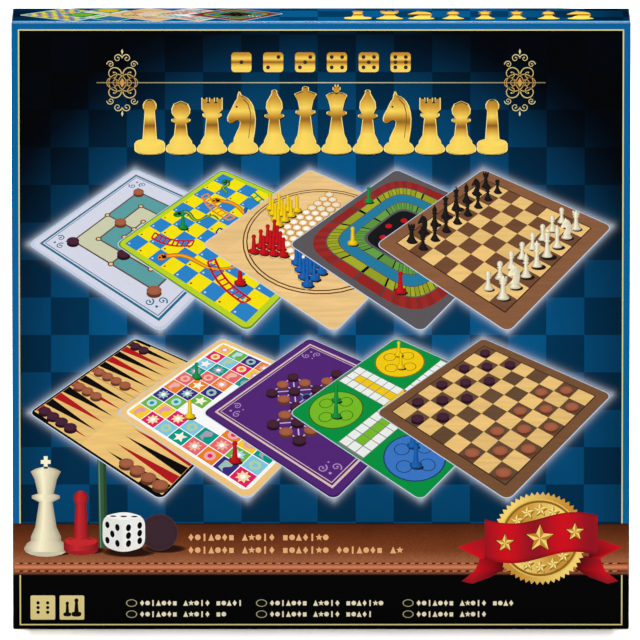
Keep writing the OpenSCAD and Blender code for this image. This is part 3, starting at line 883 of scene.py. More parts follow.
PAWN = shares((25, 0), (28, 3), (28, 15), (24, 19), (13, 22), (12, 30), (8.5, 78), (11.5, 83),
              (12, 90), (9, 96), (5, 99), (0, 100))
CHESS_PAWN = shares((26, 0), (28, 6), (25, 12), (20, 16), (20, 20), (12, 32), (9, 56), (17, 60),
                    (17, 64), (10, 66), (16, 75), (17, 84), (13, 94), (0, 100))
ROOK = shares((26, 0), (28, 5), (24, 11), (20, 15), (20, 19), (13, 30), (10, 62), (17, 66),
              (17, 70), (13, 72), (19, 78), (19, 92))
BISHOP = shares((21, 0), (22.5, 5), (19, 10), (15, 14), (15, 17), (10, 28), (7, 52), (14, 56),
                (14, 59), (8, 61), (12, 70), (11, 80), (5, 91), (3.5, 94), (3.5, 98), (0, 100))
QUEEN = shares((19, 0), (20.5, 4), (18, 9), (14, 12), (14, 16), (10, 26), (6.5, 55), (13, 59),
               (13, 62), (7.5, 64), (10, 78), (15, 88), (11, 90), (4, 93), (4, 98), (0, 100))
KING = shares((18, 0), (19.5, 4), (17, 9), (13.5, 12), (13.5, 16), (9.5, 26), (6, 52),
              (12.5, 56), (12.5, 59), (7, 61), (10, 76), (13.5, 84), (9, 87), (2, 89))
KNIGHT_HEAD = shares((-17, 14), (-16, 22), (-11, 32), (-6, 41), (-4.5, 49), (-8, 53), (-14, 52),
                     (-19, 48.5), (-23.5, 47.5), (-27.5, 50), (-28.5, 55), (-26.5, 61),
                     (-21.5, 69), (-17.5, 77), (-14, 83), (-10.5, 87), (-9.5, 93), (-7, 100),
                     (-3.5, 93), (2, 91), (8, 88), (13, 83), (17.5, 76), (20.5, 66), (22, 54),
                     (21.5, 42), (20, 30), (18, 20), (17.5, 14))
MANE = ((0.0, 88), (9.5, 79), (13.5, 66), (14, 50), (12, 36), (10, 22))
FOOT = shares((25, 0), (27, 5), (24, 11), (19, 15))

MEN = {"P": CHESS_PAWN, "R": ROOK, "N": FOOT, "B": BISHOP, "Q": QUEEN, "K": KING, "M": PAWN}
HEIGHTS = {"P": 11.5, "R": 13.5, "N": 14.5, "B": 15.5, "Q": 17, "K": 18.5, "M": 13, "D": 4.6}

# How bright a round form is across its width, from -1 to 1, with the light from its left
SHINE = {-1.0: 0.5, -0.62: 0.9, -0.3: 1.2, 0.05: 1.02, 0.6: 0.76, 1.0: 0.4}

SHADOW = rgb(34, 24, 20)


def plastic(colour):
    """The tones of a round piece, at a share of its half width and of its height."""
    return lambda across, height: shade(colour, SHINE[across])


GOLD_BANDS = ((0.0, GOLD_LIGHT), (0.28, GOLD_LIGHT), (0.42, GOLD_MID), (0.5, GOLD_DARK),
              (0.58, GOLD_MID), (0.68, GOLD_LIGHT), (0.86, GOLD_MID), (1.0, rgb(176, 122, 26)))


def gilt(across, height):
    """Polished gold with a pale foot, a dark waist and a deep top."""
    return shade(between(height, GOLD_BANDS), 0.85 + 0.15 * SHINE[across])


def gilded(low, high):
    """The same gold for a flat shape, between two heights on the print."""
    return lambda x, z: gilt(0.05, (z - low) / (high - low))


def finer(outline, step=0.04):
    """The same outline with points close together, so that bands of colour show on it."""
    points = [outline[0]]
    for (r0, h0), (r1, h1) in zip(outline, outline[1:]):
        count = max(1, math.ceil((h1 - h0) / step))
        points += [(r0 + (r1 - r0) * i / count, h0 + (h1 - h0) * i / count)
                   for i in range(1, count + 1)]
    return points


def clipped(outline, level, side):
    """The part of an outline above a height (side 1) or below it (side -1)."""
    kept = []
    for (x0, z0), (x1, z1) in sides(outline):
        if (z0 - level) * side >= 0:
            kept.append((x0, z0))
        if (z0 - level) * (z1 - level) < 0:
            kept.append((x0 + (x1 - x0) * (level - z0) / (z1 - z0), level))
    return kept


def sliced(outline, count=20):
    """An outline cut into level bands, for the same reason."""
    heights = [point[1] for point in outline]
    low, step = min(heights), (max(heights) - min(heights)) / count
    parts = [clipped(clipped(outline, low + step * i, 1), low + step * (i + 1), -1)
             for i in range(count)]
    return [part for part in parts if len(part) > 2 and abs(area(part)) > 1e-6]


# A piece higher than this on the print is drawn with its finer details
TALL = 25


def turned(sheet, x, z, high, outline, ink, wide=1.0):
    """A turned piece whose foot is at a point."""
    foot = outline[1][0] * high * wide
    sheet.shape(circle(x, z + 0.03 * high, foot, 16, 0.36), ink(0.6, 0.0), 1)
    if high > TALL:
        outline = finer(outline)
    for (r0, h0), (r1, h1) in zip(outline, outline[1:]):
        for a, b in zip(list(SHINE), list(SHINE)[1:]):
            corners = ((a, r0, h0), (b, r0, h0), (b, r1, h1), (a, r1, h1))
            points = [(x + s * r * high * wide, z + h * high) for s, r, h in corners]
            if abs(area(points)) > 1e-7:
                sheet.shape(points, [ink(s, h) for s, r, h in corners],
                            4 if high > TALL and h0 >= 0.19 else 2)


def chessman(sheet, x, z, high, kind, ink, wide=1.0):
    turned(sheet, x, z, high, MEN[kind], ink, wide)
    size = high * wide
    top = 4 if high > TALL else 2
    if kind == "N":
        head = [(x + a * size, z + h * high) for a, h in KNIGHT_HEAD]
        for part in (sliced(head) if high > TALL else [head]):
            sheet.shape(part, lambda x1, z1: ink(-0.3 if x1 < x else 0.6, (z1 - z) / high), top)
    if kind == "R":
        for a in (-0.145, 0, 0.145):
            sheet.strip(x + (a - 0.045) * size, x + (a + 0.045) * size, z + 0.92 * high, z + high,
                        ink(-0.3 if a < 0.1 else 0.6, 0.95), top)
    if kind == "M" and high > TALL:
        sheet.shape(circle(x, z + 0.165 * high, 0.265 * size, 28, 0.3), ink(-0.3, 0.2), 3)
    if kind == "K":
        for i, (half_w, low, tip) in enumerate(((0.02, 0.87, 1.0), (0.05, 0.92, 0.96))):
            sheet.strip(x - half_w * high, x + half_w * high, z + low * high, z + tip * high,
                        ink(-0.3, 0.9), top + i)


TITLE_FOOT = 8.7


def title_man(sheet, x, z, high, kind):
    """A gold chessman with a dark shadow at its right and a pale outline."""
    wide = TITLE_FOOT / (MEN[kind][1][0] * high)
    for step, tone in ((0.6, rgb(12, 8, 4)), (0.0, rgb(250, 230, 142))):
        for grow in (0.35, -0.35):
            chessman(sheet, x + grow + step, z - step, high + 0.5, kind, lambda a, h: tone, wide)
        sheet.up(6)
    chessman(sheet, x, z + 0.25, high - 0.5, kind, gilt, wide)
    sheet.up(5)
    if kind == "N":
        pen = tile(sheet, x, z + high / 2, high)
        pen.line([(50 + a * wide, h) for a, h in MANE], 2.0, rgb(130, 84, 14), 0, 0.5)
        pen.disc(50 - 12 * wide, 75, 1.8, rgb(60, 36, 6), 12)
    sheet.up(-17)


def lying_disc(sheet, x, z, r, colour):
    """A draughtsman that lies on a board: its edge, its top and the ring on it."""
    for above, drop, size, tone in ((0, 0.42, 1.0, 0.35), (1, 0, 1.0, 1.0), (2, 0, 0.8, 0.8),
                                    (3, 0, 0.7, 1.08)):
        sheet.shape(circle(x, z - drop * r, size * r, 18, 0.62), shade(colour, tone), above)


def set_out(pen, places):
    """Sets pieces on a drawn board, row by row, with nearer rows over farther ones."""
    for row in sorted({place[1] for place in places}, reverse=True):
        pen.up(4)
        for u, v, kind, colour in places:
            if v != row:
                continue
            x, z = pen.at(u, v)
            high = HEIGHTS[kind] * pen.size(u, v)
            if kind == "D":
                lying_disc(pen.sheet, x, z, high, colour)
            else:
                shadow = circle(x + 0.075 * high, z - 0.025 * high, 0.2875 * high, 14, 0.4)
                pen.sheet.shape(shadow, SHADOW)
                chessman(pen.sheet, x, z, high, kind, plastic(colour))


LIGHT_MAN = rgb(164, 94, 66)
DARK_MAN = rgb(70, 36, 54)

CHESS_SET = [(15 + 10 * i, v, kind, colour) for i, kind in enumerate("RNBQKBNR")
             for v, kind, colour in ((15, kind, IVORY), (25, "P", IVORY), (75, "P", EBONY),
                                     (85, kind, EBONY))]
DRAUGHTS_SET = [(12.4 + 10.75 * i, 12.4 + 10.75 * j, "D", LIGHT_MAN if j < 3 else DARK_MAN)
                for i in range(8) for j in (0, 1, 2, 5, 6, 7) if (i + j) % 2 == 0]
STAR_SET = [(u, v, "M", (YELLOW, GREEN, EBONY, RED, BLUE)[part])
            for u, v, part in star_places() if part < 5]
MILL_SET = [(u, v, "D", colour) for u, v, colour in (
    (19, 81, DARK_MAN), (50, 70, LIGHT_MAN), (30, 50, DARK_MAN), (59, 41, LIGHT_MAN),
    (81, 81, LIGHT_MAN), (70, 30, DARK_MAN), (19, 19, LIGHT_MAN), (81, 50, DARK_MAN))]
SNAKES_SET = [(22, 22, "M", RED), (63, 50, "M", BLUE), (36, 78, "M", GREEN), (82, 14, "M", YELLOW)]
BACKGAMMON_SET = [(u, 50 + side * (44 - 7.5 * n), "D", colour)
                  for u, side, count, colour in (
                      (7.2, 1, 4, DARK_MAN), (7.2, -1, 4, LIGHT_MAN), (36.8, 1, 3, LIGHT_MAN),
                      (36.8, -1, 3, DARK_MAN), (55.7, 1, 4, LIGHT_MAN), (55.7, -1, 4, DARK_MAN),
                      (92.7, 1, 2, DARK_MAN), (92.7, -1, 2, LIGHT_MAN))
                  for n in range(count)]
PEG_SET = [(50 + 10 * i, 50 + 10 * j, "D", LIGHT_MAN if (i + j) % 2 else DARK_MAN)
           for i, j in PEG_HOLES if abs(i) + abs(j) > 1]
CROSS_SET = [(50 + 30 * a + 5 * k, 50 + 30 * b + 5 * k, "M", colour)
             for a, b, colour in ((-1, 1, GREEN), (1, 1, YELLOW), (1, -1, RED), (-1, -1, BLUE))
             for k in (-1, 1)]
GOOSE_SET = [(15, 20, "M", RED), (55, 84, "M", GREEN), (25, 62, "M", YELLOW)]
RACE_SET = [(13, 24, "M", RED), (24, 70, "M", YELLOW), (60, 90, "M", GREEN), (70, 12, "M", BLUE)]


def border(sheet, left, right, low, high, width, ink):
    for side in frame_sides(left, right, low, high, width):
        sheet.strip(*side, ink)


def ornament(sheet, x, z, size=41.0):
    """Fine scrolls round two linked rings, golden in the middle and pale at the ends."""
    pen = tile(sheet, x, z, size)
    tones = ((0.0, rgb(200, 148, 66)), (0.12, rgb(214, 184, 108)), (0.5, rgb(228, 219, 168)))

    def ink(x1, z1):
        return between(abs(z1 - z) / size, tones)

    for a in (-1, 1):
        for out, r, width, count in ((7, 13, 1.1, 32), (15, 8, 1.0, 24), (9, 5, 0.9, 20)):
            pen.ring(50 + out * a, 50, r, width, ink, count)
        for b in (-1, 1):
            for out, rise, r, way, sweep, width in ((12, 13, 11, 1, 460, 1.5),
                                                    (17, 27, 5.5, -1, 460, 1.35),
                                                    (6.5, 36, 6.5, 1, 440, 1.35)):
                scroll(pen, 50 + out * a, 50 + rise * b, r, 90 + 90 * a * way,
                       -sweep * a * b * way, width, ink)
            pen.poly([(50, 50 + 50 * b), (50 + 1.6 * a, 50 + 46 * b), (50, 50 + 41 * b)], ink)
    pen.up()
    pen.poly([(46, 50), (50, 43), (54, 50), (50, 57)], ink)


# The small shapes of a row, as shares of half their size, and their order, with gaps
ROW_SHAPES = (((-0.7, 0), (0, -1), (0.7, 0), (0, 1)),
              circle(0, 0, 0.78, 12),
              ((-0.24, -1), (0.24, -1), (0.24, 1), (-0.24, 1)),
              ((-0.6, -0.8), (0.6, -0.8), (0.6, 0.6), (-0.6, 0.6)),
              ((-0.8, -0.9), (0.8, -0.9), (0, 1)),
              star_outline(0, 0, 1, 5))
ROW_KINDS = (0, 1, 2, 4, 1, 0, 3, None, 4, 5, 1, 2, 0, None, 3, 1, 4, 0, 2, 5, 1, None)


def ornament_row(sheet, left, right, z, size, colour):
    """A line of small ornaments, in groups with gaps between them."""
    pitch, half = size * 0.86, size * 0.475
    for i in range(int((right - left) / pitch)):
        kind = ROW_KINDS[i % len(ROW_KINDS)]
        if kind is not None:
            x = left + pitch * (i + 0.5)
            sheet.shape([(x + a * half, z + b * half) for a, b in ROW_SHAPES[kind]], colour)


# The pips of a die by its number, as places from -1 to 1
MIDDLE, RISE, FALL, BESIDE = ((0, 0),), ((-1, -1), (1, 1)), ((-1, 1), (1, -1)), ((-1, 0), (1, 0))
PIPS = (MIDDLE, RISE, MIDDLE + RISE, RISE + FALL, MIDDLE + RISE + FALL, RISE + FALL + BESIDE)


def die_face(pen, number, face, pip, pip_size=9.5, corner=16):
    pen.panel(2, corner, face)
    if callable(face):
        for i in range(8):
            pen.rect(2, 18 + 8 * i, 98, 26 + 8 * i, face)
        pen.up()
    for a, b in PIPS[number - 1]:
        pen.disc(50 + 25 * a, 50 + 25 * b, pip_size, pip, 14)


# The wrap of the lid and of the base

def stops(low, high, cell, *marks):
    """Places from low to high, about a cell apart, with every mark among them."""
    fixed = sorted([low, *marks, high])
    places = []
    for a, b in zip(fixed, fixed[1:]):
        count = max(1, round((b - a) / cell))
        places += [a + (b - a) * i / count for i in range(count)]
    return places + [high]


def wrap_section(depth):
    """From the panel's edge over the fold, down the wall and round its rim to the turned-in edge,
    as (depth, inset)."""
    rim = depth - RIM_R
    return (quarter(FOLD_R, FOLD_R, FOLD_R, 180)
            + [(d, 0.0) for d in stops(FOLD_R, rim, WALL_CELL, EDGE_W)[1:-1]]
            + quarter(rim, RIM_R, RIM_R, 270) + quarter(rim, WALL_T - RIM_R, RIM_R, 0)
            + [(depth - TURN_IN, WALL_T), (depth - TURN_IN, WALL_T - PAPER_LIP)])


def ring(us, vs, inset):
    """One turn round the box at an inset, anticlockwise from its lower left."""
    runs = ([(u, vs[0]) for u in us], [(us[-1], v) for v in vs],
            [(u, vs[-1]) for u in reversed(us)], [(us[0], v) for v in reversed(vs)])
    r = max(FOLD_R - inset, 0.0)
    cut = max(inset - FOLD_R, 0.0)
    points = []
    for side, run in enumerate(runs):
        start = 90 * side - 90
        places = [(*p, start) for p in run] + [(*run[-1], start + 22.5 * i) for i in (1, 2, 3)]
        for u, v, angle in places:
            u += r * math.cos(math.radians(angle))
            v += r * math.sin(math.radians(angle))
            if cut:
                u = min(max(u, us[0] + cut), us[-1] - cut)
                v = min(max(v, vs[0] + cut), vs[-1] - cut)
            points.append((u, v))
    return points


# The prints of the wrap, in the order of its materials. The top wall has matt ones of its own.
CHECKS, LEATHER, FOOT_BAND, EDGE, TOP_CHECKS, TOP_EDGE, UPPER_FOLD = range(7)


def region(u, v, depth, half, high):
    """Which print a place on the wrap carries."""
    if v < LEATHER_TOP:
        return FOOT_BAND if v < FOOT_TOP else LEATHER
    on_top = v > high - 0.01
    if 0 < depth < FOLD_R and high - FOLD_R < v and not on_top:
        return UPPER_FOLD
    if depth < EDGE_W and (abs(u) > half - EDGE_W or v > high - EDGE_W):
        return TOP_EDGE if on_top else EDGE
    return TOP_CHECKS if on_top else CHECKS


DIMMING = ((0.45, 0.95), (0.57, 0.74), (0.7, 0.6), (0.85, 0.42), (1.0, 0.26), (1.12, 0.12),
           (1.25, 0.035), (1.4, 0.008))
LOW_DIMMING = ((0.17, 0.57), (0.45, 0.95))
TOP_DIMMING = ((0.6, 0.9), (0.95, 0.22))


def vignette(u, v, depth, half, high):
    side, rise = abs(u) / half, v / high
    if depth > EDGE_W - 0.1:
        return between(side, TOP_DIMMING) if rise > 0.99 else 0.9
    spread = (side / 1.03) ** 2 + (max(rise - 0.45, 0.0) / 0.5) ** 2
    return min(between(spread, DIMMING), between(rise, LOW_DIMMING))


LEATHER_TONES = ((FOOT_TOP, rgb(120, 64, 38)), (38.0, rgb(186, 110, 74)), (42.0, rgb(178, 108, 72)),
                 (48.0, rgb(142, 74, 40)), (58.0, rgb(112, 54, 26)), (LEATHER_TOP, rgb(84, 38, 20)))


def wrap_shell(name, node, slot, body, place, half, low, high, depth, cell, glow, materials):
    """The printed wrap as one folded sheet with round edges, in heights above the floor."""
    us = stops(FOLD_R - half, half - FOLD_R, cell, EDGE_W - half, half - EDGE_W)
    vs = stops(low + FOLD_R, high - FOLD_R, cell, FOOT_TOP, LEATHER_TOP, high - EDGE_W)
    numbers = {}
    faces = []
    kinds = []

    def add(*corners):
        keys = [tuple(round(c, 4) for c in corner) for corner in corners]
        loop = list(dict.fromkeys(numbers.setdefault(key, len(numbers)) for key in keys))
        if len(loop) > 2:
            faces.append(loop)
            middle = [sum(c) / len(keys) for c in zip(*keys)]
            kinds.append(region(*middle, half, high))

    for u0, u1 in zip(us, us[1:]):
        for v0, v1 in zip(vs, vs[1:]):
            add((u0, v0, 0), (u1, v0, 0), (u1, v1, 0), (u0, v1, 0))
    rings = [[(u, v, d) for u, v in ring(us, vs, inset)] for d, inset in wrap_section(depth)]
    for outer, inner in zip(rings, rings[1:]):
        for a, b, c, d in quads(outer, inner):
            add(a, d, c, b)
    mesh = new_mesh(name, [place(u, v, -d) for u, v, d in numbers], faces, materials, kinds)
    mesh.polygons.foreach_set("use_smooth", [True] * len(faces))
    for attribute, value in (("shade", lambda u, v, d: vignette(u, v, d, half, high)),
                             ("halo", lambda u, v, d: glow(u, v) if d == 0 else 0.0)):
        layer = mesh.attributes.new(attribute, "FLOAT", "POINT")
        layer.data.foreach_set("value", [value(*key) for key in numbers])
    set_inks(mesh, [between(v, LEATHER_TONES) for u, v, d in numbers])
    piece = add_piece(name, mesh, body, slot)
    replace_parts(piece, node)


def gap_to(u, v, corners):
    """How far a place lies outside a convex shape given anticlockwise, and 0 inside."""
    if all(area([a, b, (u, v)]) >= 0 for a, b in sides(corners)):
        return 0.0
    return min(math.dist((u, v), blend(a, b, along(u, v, a, b))) for a, b in sides(corners))


# The cover

COVER_CORNERS = ((8.0, -54.0), (69.8, 10.2), (-7.1, 44.7), (-70.7, -0.7))
COVER_FIRST_X = -104.0
COVER_PITCH = 52.0
COVER_ROWS = ((235.8, (("mill", MILL_SET), ("snakes", SNAKES_SET), ("star", STAR_SET),
                       ("race", RACE_SET), ("chess", CHESS_SET))),
              (133.3, (("backgammon", BACKGAMMON_SET), ("goose", GOOSE_SET), ("peg", PEG_SET),
                       ("cross", CROSS_SET), ("draughts", DRAUGHTS_SET))))
COVER_CENTRES = [(COVER_FIRST_X + COVER_PITCH * i, z) for z, row in COVER_ROWS
                 for i in range(len(row))]
GLOW_W = 1.75
GLOW_FALL = 1.25
GLOW_LEVEL = 0.56


def cover_glow(u, v):
    """The light round the boards, from 0 to 1."""
    best = 0.0
    for x, z in COVER_CENTRES:
        if abs(u - x) < 85 and abs(v - z) < 68:
            gap = gap_to(u - x, v - z, COVER_CORNERS)
            best = max(best, math.exp(-(gap / GLOW_W) ** GLOW_FALL))
    return best * GLOW_LEVEL


def cover_boards():
    """Five boards in each row, each over its left neighbour."""
    for z, boards in COVER_ROWS:
        layer = 1 if z > COVER_ROWS[1][0] else 80
        for i, (name, men) in enumerate(boards):
            sheet = Print(FRONT, layer)
            pen = tilted(sheet, COVER_FIRST_X + COVER_PITCH * i, z, COVER_CORNERS)
            pen.panel(-0.6, CORNER + 0.6, rgb(198, 212, 232))
            BOARDS[name](pen)
            set_out(pen, men)
            sheet.build("cover_" + name, "lid", "lid_print", INK, WOOD_INK)
            layer = sheet.layer + 5


RULE_TONES = ((0.0, rgb(206, 196, 158)), (134.0, rgb(140, 124, 88)))
RULE_Z = 332.8
BORDER_X = 180.1
BORDER_LOW, BORDER_HIGH = 2.6, 365.4
BORDER_W = 0.8
DICE_PITCH = 19
DIE_SIZE = 12.5
DIE_PIP = rgb(40, 22, 8)
TITLE_PITCH = 18.6
TITLE_Z = 291.5
TITLE_HEIGHTS = {"M": 31, "P": 30, "R": 32, "N": 36, "B": 37, "Q": 39, "K": 40}


def gold_die(sheet, i, z, low, high):
    """One of the six gold dice in a row, between two heights of the gold's tones."""
    pen = tile(sheet, (i - 2.5) * DICE_PITCH, z, DIE_SIZE)
    die_face(pen, i + 1, gilded(low, high), DIE_PIP)


def cover_gold():
    """The gold border, the rule and scrolls, and rows of dice and chessmen."""
    sheet = Print(FRONT)
    line = rgb(222, 208, 134)
    for side in (-1, 1):
        for low, high in ((BORDER_LOW, FOOT_TOP), (LEATHER_TOP, BORDER_HIGH)):
            sheet.strip(side * (BORDER_X + BORDER_W), side * BORDER_X, low, high, line)
        sheet.strip(0, side * 134, RULE_Z, RULE_Z + 0.6, lambda x, z: between(abs(x), RULE_TONES))
    for z in (BORDER_LOW, BORDER_HIGH - BORDER_W):
        sheet.strip(-BORDER_X, BORDER_X, z, z + BORDER_W, line)
    sheet.up()
    for side in (-1, 1):
        ornament(sheet, side * 118.7, 333.1)
    sheet.up()
    for i in range(6):
        gold_die(sheet, i, 345.5, 339.5, 351.5)
        sheet.up(-2)
    sheet.up()
    for i, kind in enumerate("MPRNBQKBNRPM"):
        title_man(sheet, (i - 5.5) * TITLE_PITCH, TITLE_Z, TITLE_HEIGHTS[kind], kind)
    sheet.build("cover_gold", "lid", "lid_print", GILDING)


STITCH = 5.05
STITCH_ROWS = (40.4, 35.7)
# A stitch's thread and its hole: start, end, how much higher, its layer and its colour
STITCH_PARTS = ((0.2, 3.0, 0.0, 1, rgb(204, 138, 98)), (2.8, 5.0, 0.15, 0, rgb(88, 34, 8)))
ROLL_LOW, ROLL_HIGH = 37.05, 39.5


def leather_band(sheet, left, right):
    """The rolled edge and two rows of stitches along the leather."""
    rolls = 6
    high = (ROLL_HIGH - ROLL_LOW) / rolls
    for i in range(rolls):
        z = ROLL_LOW + high * i
        tone = shade(rgb(212, 124, 84), 0.66 + 0.44 * math.sin(math.pi * (i + 0.6) / rolls))
        sheet.strip(left, right, z, z + high, tone)
    sheet.strip(left, right, LEATHER_TOP - 0.5, LEATHER_TOP, rgb(36, 16, 10))
    sheet.strip(left, right, FOOT_TOP, FOOT_TOP + 0.7, rgb(70, 38, 26))
    for z in STITCH_ROWS:
        sheet.strip(left, right, z - 0.45, z + 0.55, rgb(118, 56, 24))
    sheet.up()
    for i in range(int((right - left) / STITCH)):
        x = left + STITCH * i
        for z in STITCH_ROWS:
            for start, end, grow, above, tone in STITCH_PARTS:
                corners = [(x + start, z - 0.3 - grow), (x + end, z - 0.15 - grow),
                           (x + end, z + 0.45 + grow), (x + start, z + 0.3 + grow)]
                sheet.shape(rounded(corners, 0.25, 2), tone, above)


def rounded(corners, r, steps=5):
    """The outline of a polygon with its corners rounded."""
    outline = []
    for i, (x, z) in enumerate(corners):
        ends = []
        for x1, z1 in (corners[i - 1], corners[(i + 1) % len(corners)]):
            t = r / math.hypot(x1 - x, z1 - z)
            ends.append((x + (x1 - x) * t, z + (z1 - z) * t))
        for k in range(steps + 1):
            t = k / steps
            outline.append(tuple((1 - t) ** 2 * a + 2 * t * (1 - t) * c + t * t * b
                                 for a, c, b in zip(ends[0], (x, z), ends[1])))
    return outline


def band_pieces():
    """Playing pieces that stand in front of the leather."""
    sheet = Print(FRONT, 6)
    for x, z, r in ((-165, 47.5, 14), (-143, 48.5, 12), (-117, 47.5, 16), (-96, 49.5, 13)):
        for share, tone in ((1.0, rgb(78, 40, 24)), (0.88, rgb(56, 28, 17)),
                            (0.76, rgb(40, 20, 12))):
            sheet.shape(circle(x + 2, z, r * share, 24, 0.2), tone)
            sheet.up()
    pen = tile(sheet, 0, 50, 100)
    for shift, width, tone in ((0, 5.2, rgb(40, 70, 48)), (-0.7, 3.0, rgb(54, 92, 62)),
                               (-1.7, 0.8, rgb(92, 136, 110))):
        pen.line([(-80.5 + shift, 50), (-81.5 + shift, 110)], width, tone)
        sheet.up()
    chessman(sheet, -165, 47.5, 58.5, "K", plastic(rgb(238, 228, 194)), 1.15)
    sheet.up(5)
    chessman(sheet, -144, 48, 37, "M", plastic(rgb(186, 38, 44)))
    sheet.up(5)
    left, right = (-131, 51), (-105.5, 50.5)
    low, mid, far = (-119, 46.8), (-119, 66.5), (-117.5, 72.4)
    upper_left, upper_right = (-131, 69.5), (-105.5, 69)
    for r, tone in ((11.2, 1.7), (10.8, 1.0), (9.2, 0.9), (8.7, 1.05)):
        sheet.shape(circle(-97, 59.5, r, 36), shade(rgb(60, 40, 48), tone))
        sheet.up()
    sheet.shape(rounded((left, low, right, upper_right, far, upper_left), 5.5), rgb(240, 240, 234))
    sheet.up()
    for corners, number, light in (((left, low, mid, upper_left), 5, 0.9),
                                   ((low, right, upper_right, mid), 6, 0.98),
                                   ((upper_left, mid, upper_right, far), 3, 1.05)):
        die_face(Pen(sheet, corners), number, shade(rgb(246, 246, 242), light), BLACK, 11.0, 26)
        sheet.up(-1)
    sheet.build("cover_band_pieces", "lid", "lid_print", INK)


SEAL_X, SEAL_Z, SEAL_R = 131.4, 55.8, 28.5


def foil(x, z):
    """Gold foil whose shine turns round the seal."""
    angle = math.atan2(z - SEAL_Z, x - SEAL_X)
    return blend(rgb(204, 148, 54), rgb(254, 220, 118), 0.5 + 0.5 * math.cos(2 * (angle - 2.4)))


def star(sheet, x, z, r, light, dark, above=0):
    """A raised star of light and dark facets."""
    for i, (a, b) in enumerate(sides(star_outline(x, z, r, 5))):
        sheet.shape([(x, z), a, b], dark if i % 2 else light, above)


def wave(a):
    """How high the middle of the seal's ribbon is, at a distance right of the seal's middle."""
    return SEAL_Z + 0.4 + 3.5 * math.sin(math.pi * (a - 1.6) / 38)


def seal():
    """A toothed gold seal with a red ribbon across it."""
    sheet = Print(FRONT, 6)
    dark_red, red, bright_red = rgb(84, 8, 14), rgb(150, 22, 34), rgb(212, 18, 32)
    for side in (-1, 1):
        upper = ((31, 57), (49.5, 50.5), (35.4, 43), (29, 44))
        lower = ((35.6, 45), (39, 36), (47, 29.6), (40.6, 28), (30, 32), (21.5, 37), (23, 45))
        for points, tones, above in (
                (lower, (red, bright_red, red, red, red, dark_red, dark_red), 0),
                (upper, (red, bright_red, bright_red, dark_red), 1)):
            sheet.shape([(SEAL_X + side * a, z) for a, z in points], list(tones), above)
    sheet.up(2)
    teeth = 52
    for i in range(teeth):
        t = [math.tau * (i + k) / teeth for k in (0, 0.5, 1)]
        sheet.shape([(SEAL_X + r * math.cos(a), SEAL_Z + r * math.sin(a))
                     for r, a in zip((26.3, SEAL_R, 26.3, 24, 24), (*t, t[2], t[0]))], foil)
    for outer, inner, ink in ((24, 23.2, rgb(236, 196, 100)), (23.2, 21.8, rgb(150, 104, 30)),
                              (21.8, 0.5, lambda x, z: foil(2 * SEAL_X - x, z))):
        rims = [circle(SEAL_X, SEAL_Z, r, 60) for r in (outer, inner)]
        for corners in quads(*rims):
            sheet.shape(corners, ink)
    sheet.up()
    for i in range(5):
        t = math.radians((i - 2) * 26)
        for side in (-1, 1):
            x, z = SEAL_X + 17.5 * math.sin(t), SEAL_Z + side * 17.5 * math.cos(t)
            sheet.shape(star_outline(x + 0.5, z - 0.6, 4.3, 5), rgb(150, 106, 30))
            star(sheet, x, z, 4.1, rgb(255, 236, 150), rgb(214, 164, 66), 1)
    sheet.up(2)
    steps = 28
    for i in range(steps):
        a, b = (-33.2 + 67.6 * (i + k) / steps for k in (0, 1))
        tones = [blend(red, bright_red, 0.5 + 0.5 * math.cos(math.tau * (c + 20) / 34))
                 for c in (a, b)]
        dark = [shade(tone, 0.6) for tone in tones]
        for low, high, below, above in ((-12.2, -9.6, dark, tones), (-9.6, 10.8, tones, tones),
                                        (10.8, 12.2, tones, dark)):
            sheet.shape([(SEAL_X + a, wave(a) + low), (SEAL_X + b, wave(b) + low),
                         (SEAL_X + b, wave(b) + high), (SEAL_X + a, wave(a) + high)],
                        [below[0], below[1], above[1], above[0]])
    sheet.up()
    for a, size in ((-21, 5.6), (0, 8.6), (21, 5.6)):
        sheet.shape(star_outline(SEAL_X + a, wave(a), size + 0.9, 5), rgb(96, 12, 12))
        star(sheet, SEAL_X + a, wave(a), size, rgb(250, 218, 120), rgb(196, 138, 44), 1)
    sheet.build("cover_seal", "lid", "lid_print", INK)


def cover_small_print():
    """The leather's edge, the icon squares and the rows of small ornaments."""
    sheet = Print(FRONT)
    leather_band(sheet, -183.9, 183.9)
    cream, peach = rgb(227, 209, 142), rgb(240, 178, 122)
    sheet.up()
    for x in (-166.95, -149.5):
        tile(sheet, x, 13.45, 14.8).panel(0, 6, cream)
    sheet.up(-1)
    die_face(tile(sheet, -166.95, 13.45, 11.5), 6, cream, rgb(16, 14, 12), 9)
    for x, high in ((-152.3, 8.5), (-146.8, 10.5)):
        turned(sheet, x, 8.6, high, PAWN, lambda across, height: rgb(16, 14, 12))
    for left, right in ((-117, -44), (-39, 44), (49, 116)):
        for z, short in ((16.2, 0), (9.4, 12)):
            for above, r, tone in ((0, 3.3, rgb(190, 180, 140)), (1, 2.8, rgb(10, 10, 10))):
                sheet.shape(circle(left + 3.3, z, r, 18, 0.68), tone, above)
            ornament_row(sheet, left + 8, right - short, z, 3.8, CREAM)
    for right, z in ((12, 56.4), (53, 48.6)):
        ornament_row(sheet, -80, right, z, 4.7, peach)
    sheet.build("cover_small_print", "lid", "lid_print", INK)


# The walls and the back

SMALL_CORNERS = ((2.2, -17.0), (19.5, 2.2), (-1.6, 15.8), (-20.1, -1.0))


def small_board(sheet, name, x, z, size):
    pen = tilted(sheet, x, z, SMALL_CORNERS, size)
    pen.panel(-2.5, CORNER + 2.5, rgb(210, 226, 240))
    BOARDS[name](pen)


